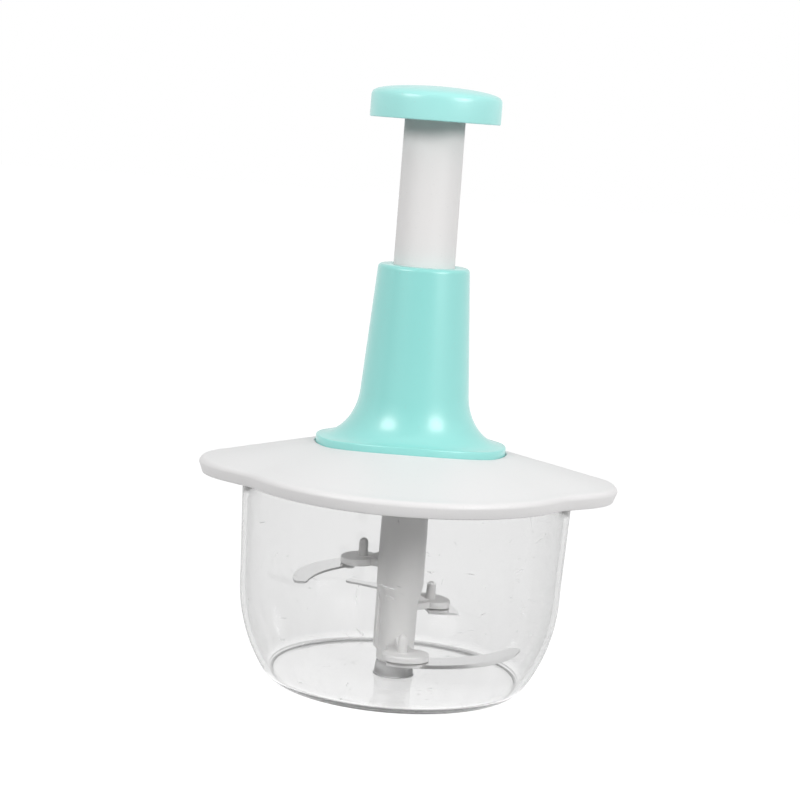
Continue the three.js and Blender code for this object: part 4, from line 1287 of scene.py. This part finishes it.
def make_pin():
    low, high = foot_z("pivot_pin"), top_z("pivot_pin")
    radius = reach("pivot_pin")
    dome = upper_corner(radius, high, radius, pin_steps)[:-1]
    mesh = closed_spin([(0, low), (radius, low), *dome, (0, high)], pin_sides)
    piece("steel_pin", mesh, [pin_steel], "base", "pivot_pin")


make_bowl()
make_lid()
make_tower()
make_knob()
make_tube()
make_seal()
make_spring()
make_pin()
make_blade_shaft()
for level in range(len(blade_names)):
    make_blade(level)

carried_over = [
    (white, ["bearing_plate"]),
    (shaft_grey, ["drive_hub"]),
    (natural, ["shaft_bush", "hub_bearing", "guide_bush", "spring_seat", "drive_nut"]),
    (plain_steel, ["twisted_strip", "strip_pin", "hub_clip", "nut_pin_left", "nut_pin_right"]),
    (plain_steel, ["knob_screw", "plate_screw_1", "plate_screw_2", "plate_screw_3", "plate_screw_4"]),
]
for material, nodes in carried_over:
    for node in nodes:
        mesh = frame["nodes"][node].data
        mesh.materials.clear()
        mesh.materials.append(material)


# Floor and room

paper_tone = 0.41
shaded_tone = 0.24
paper_glow = 0.9
floor_half_width = 6
floor_drop = 0.05 * mm
# The room's light by direction: all round, to the right, at both sides, behind and overhead
light_all_round = 0.32
light_right = 0.10
light_sides = 0.34
light_behind = 0.2
light_overhead = 0.5
# The ways to the opening's middle, in X and Y, and to the bright patch overhead, in Y and Z
opening_way = (-0.34, -0.94)
overhead_way = (-0.5, 0.87)
# How far the dim opening in front takes light away, and how far it darkens what glossy faces show
opening_dims = 0.65
opening_darkens = 0.85


def shown_share(finish):
    """1 on a path that comes straight from the camera, or by gloss or clear plastic alone."""
    shown = finish.path("Is Camera Ray")
    shown = shown.larger(finish.path("Is Glossy Ray")).larger(finish.path("Is Transmission Ray"))
    return (shown - finish.path("Diffuse Depth")).over(0.5)


def make_floor():
    """Plain white paper, which keeps the shadow and doesn't throw much light back up."""
    finish = Finish(bpy.data.materials.new("floor_paper"))
    paper = finish.shader("Diffuse", {"Color": grey(paper_tone)})
    shaded = finish.shader("Diffuse", {"Color": grey(shaded_tone)})
    glow = finish.node("ShaderNodeEmission", inputs={"Color": grey(1), "Strength": paper_glow})
    bright = finish.node("ShaderNodeAddShader", inputs={0: shaded, 1: glow})
    material = finish.surface(finish.mixed_shader(shown_share(finish), paper, bright))
    mesh = bmesh.new()
    bmesh.ops.create_grid(mesh, x_segments=1, y_segments=1, size=floor_half_width)
    bmesh.ops.translate(mesh, verts=mesh.verts, vec=(0, 0, -floor_drop))
    floor = in_scene("floor", mesh)
    floor.data.materials.append(material)


def make_room():
    """A white room with a dim opening in front, brighter at the sides, behind and overhead."""
    room = Finish(bpy.data.worlds.new("white_room"), "Generated")
    x, y, z = [room.part_of_place(axis) for axis in "XYZ"]
    opening = (x * opening_way[0] + y * opening_way[1]).above(level=0.56, softness=0.03)
    overhead = (y * overhead_way[0] + z * overhead_way[1]).above(level=0.85, softness=0.12)
    behind = y.above(level=0.8, softness=0.2)
    light = light_all_round + x * light_right + x * x * light_sides + behind * light_behind
    light = light * (1 - opening * opening_dims) + overhead * light_overhead
    by_gloss = room.path("Is Glossy Ray") * (1 - room.path("Transmission Depth")).larger(0)
    shown = 1 - opening * by_gloss * opening_darkens
    dim = room.node("ShaderNodeBackground", inputs={"Color": grey(1), "Strength": light})
    bright = room.node("ShaderNodeBackground", inputs={"Color": grey(1), "Strength": shown})
    shader = room.mixed_shader(shown_share(room), dim, bright)
    bpy.context.scene.world = room.surface(shader, "ShaderNodeOutputWorld")


# Lamps and camera

lamp_width = 0.58
lamp_height = 0.40
lamp_distance = 1.15
lamp_aim_z = 0.13
lamp_power = 5.7
# In degrees from the front to one side, and in degrees up
lamp_to_side = 47
left_lamp_up = 30
right_lamp_up = 25
sensor_width = 36
# The focal length in widths of the picture
focal_share = 2032.6 / 800
# The camera's place, and its turns in radians
camera_place = (0, -0.9185, 0.2574)
camera_yaw = 0.00692
camera_down = 0.13738
camera_roll = 0.07529


def make_softbox(name, azimuth, elevation):
    """A lamp in front of the object, high up to one side, aimed at the tower's foot."""
    lamp = bpy.data.lights.new(name, "AREA")
    lamp.shape = "ELLIPSE"
    lamp.size = lamp_width
    lamp.size_y = lamp_height
    lamp.energy = lamp_power
    across, up = math.radians(azimuth), math.radians(elevation)
    way = Vector((math.cos(up) * math.sin(across), -math.cos(up) * math.cos(across), math.sin(up)))
    made = placed(name, lamp)
    made.location = Vector((0, 0, lamp_aim_z)) + way * lamp_distance
    made.rotation_euler = (-way).to_track_quat("-Z", "Y").to_euler()


def make_camera():
    camera = bpy.data.cameras.new("camera")
    camera.sensor_width = sensor_width
    camera.lens = sensor_width * focal_share
    made = placed("camera", camera)
    yaw = Matrix.Rotation(camera_yaw, 4, "Z")
    pitch = Matrix.Rotation(math.pi / 2 - camera_down, 4, "X")
    roll = Matrix.Rotation(camera_roll, 4, "Z")
    made.matrix_world = Matrix.Translation(camera_place) @ yaw @ pitch @ roll
    bpy.context.scene.camera = made


make_floor()
make_room()
make_softbox("left_softbox", -lamp_to_side, left_lamp_up)
make_softbox("right_softbox", lamp_to_side, right_lamp_up)
make_camera()
bpy.context.scene.view_settings.view_transform = "Standard"
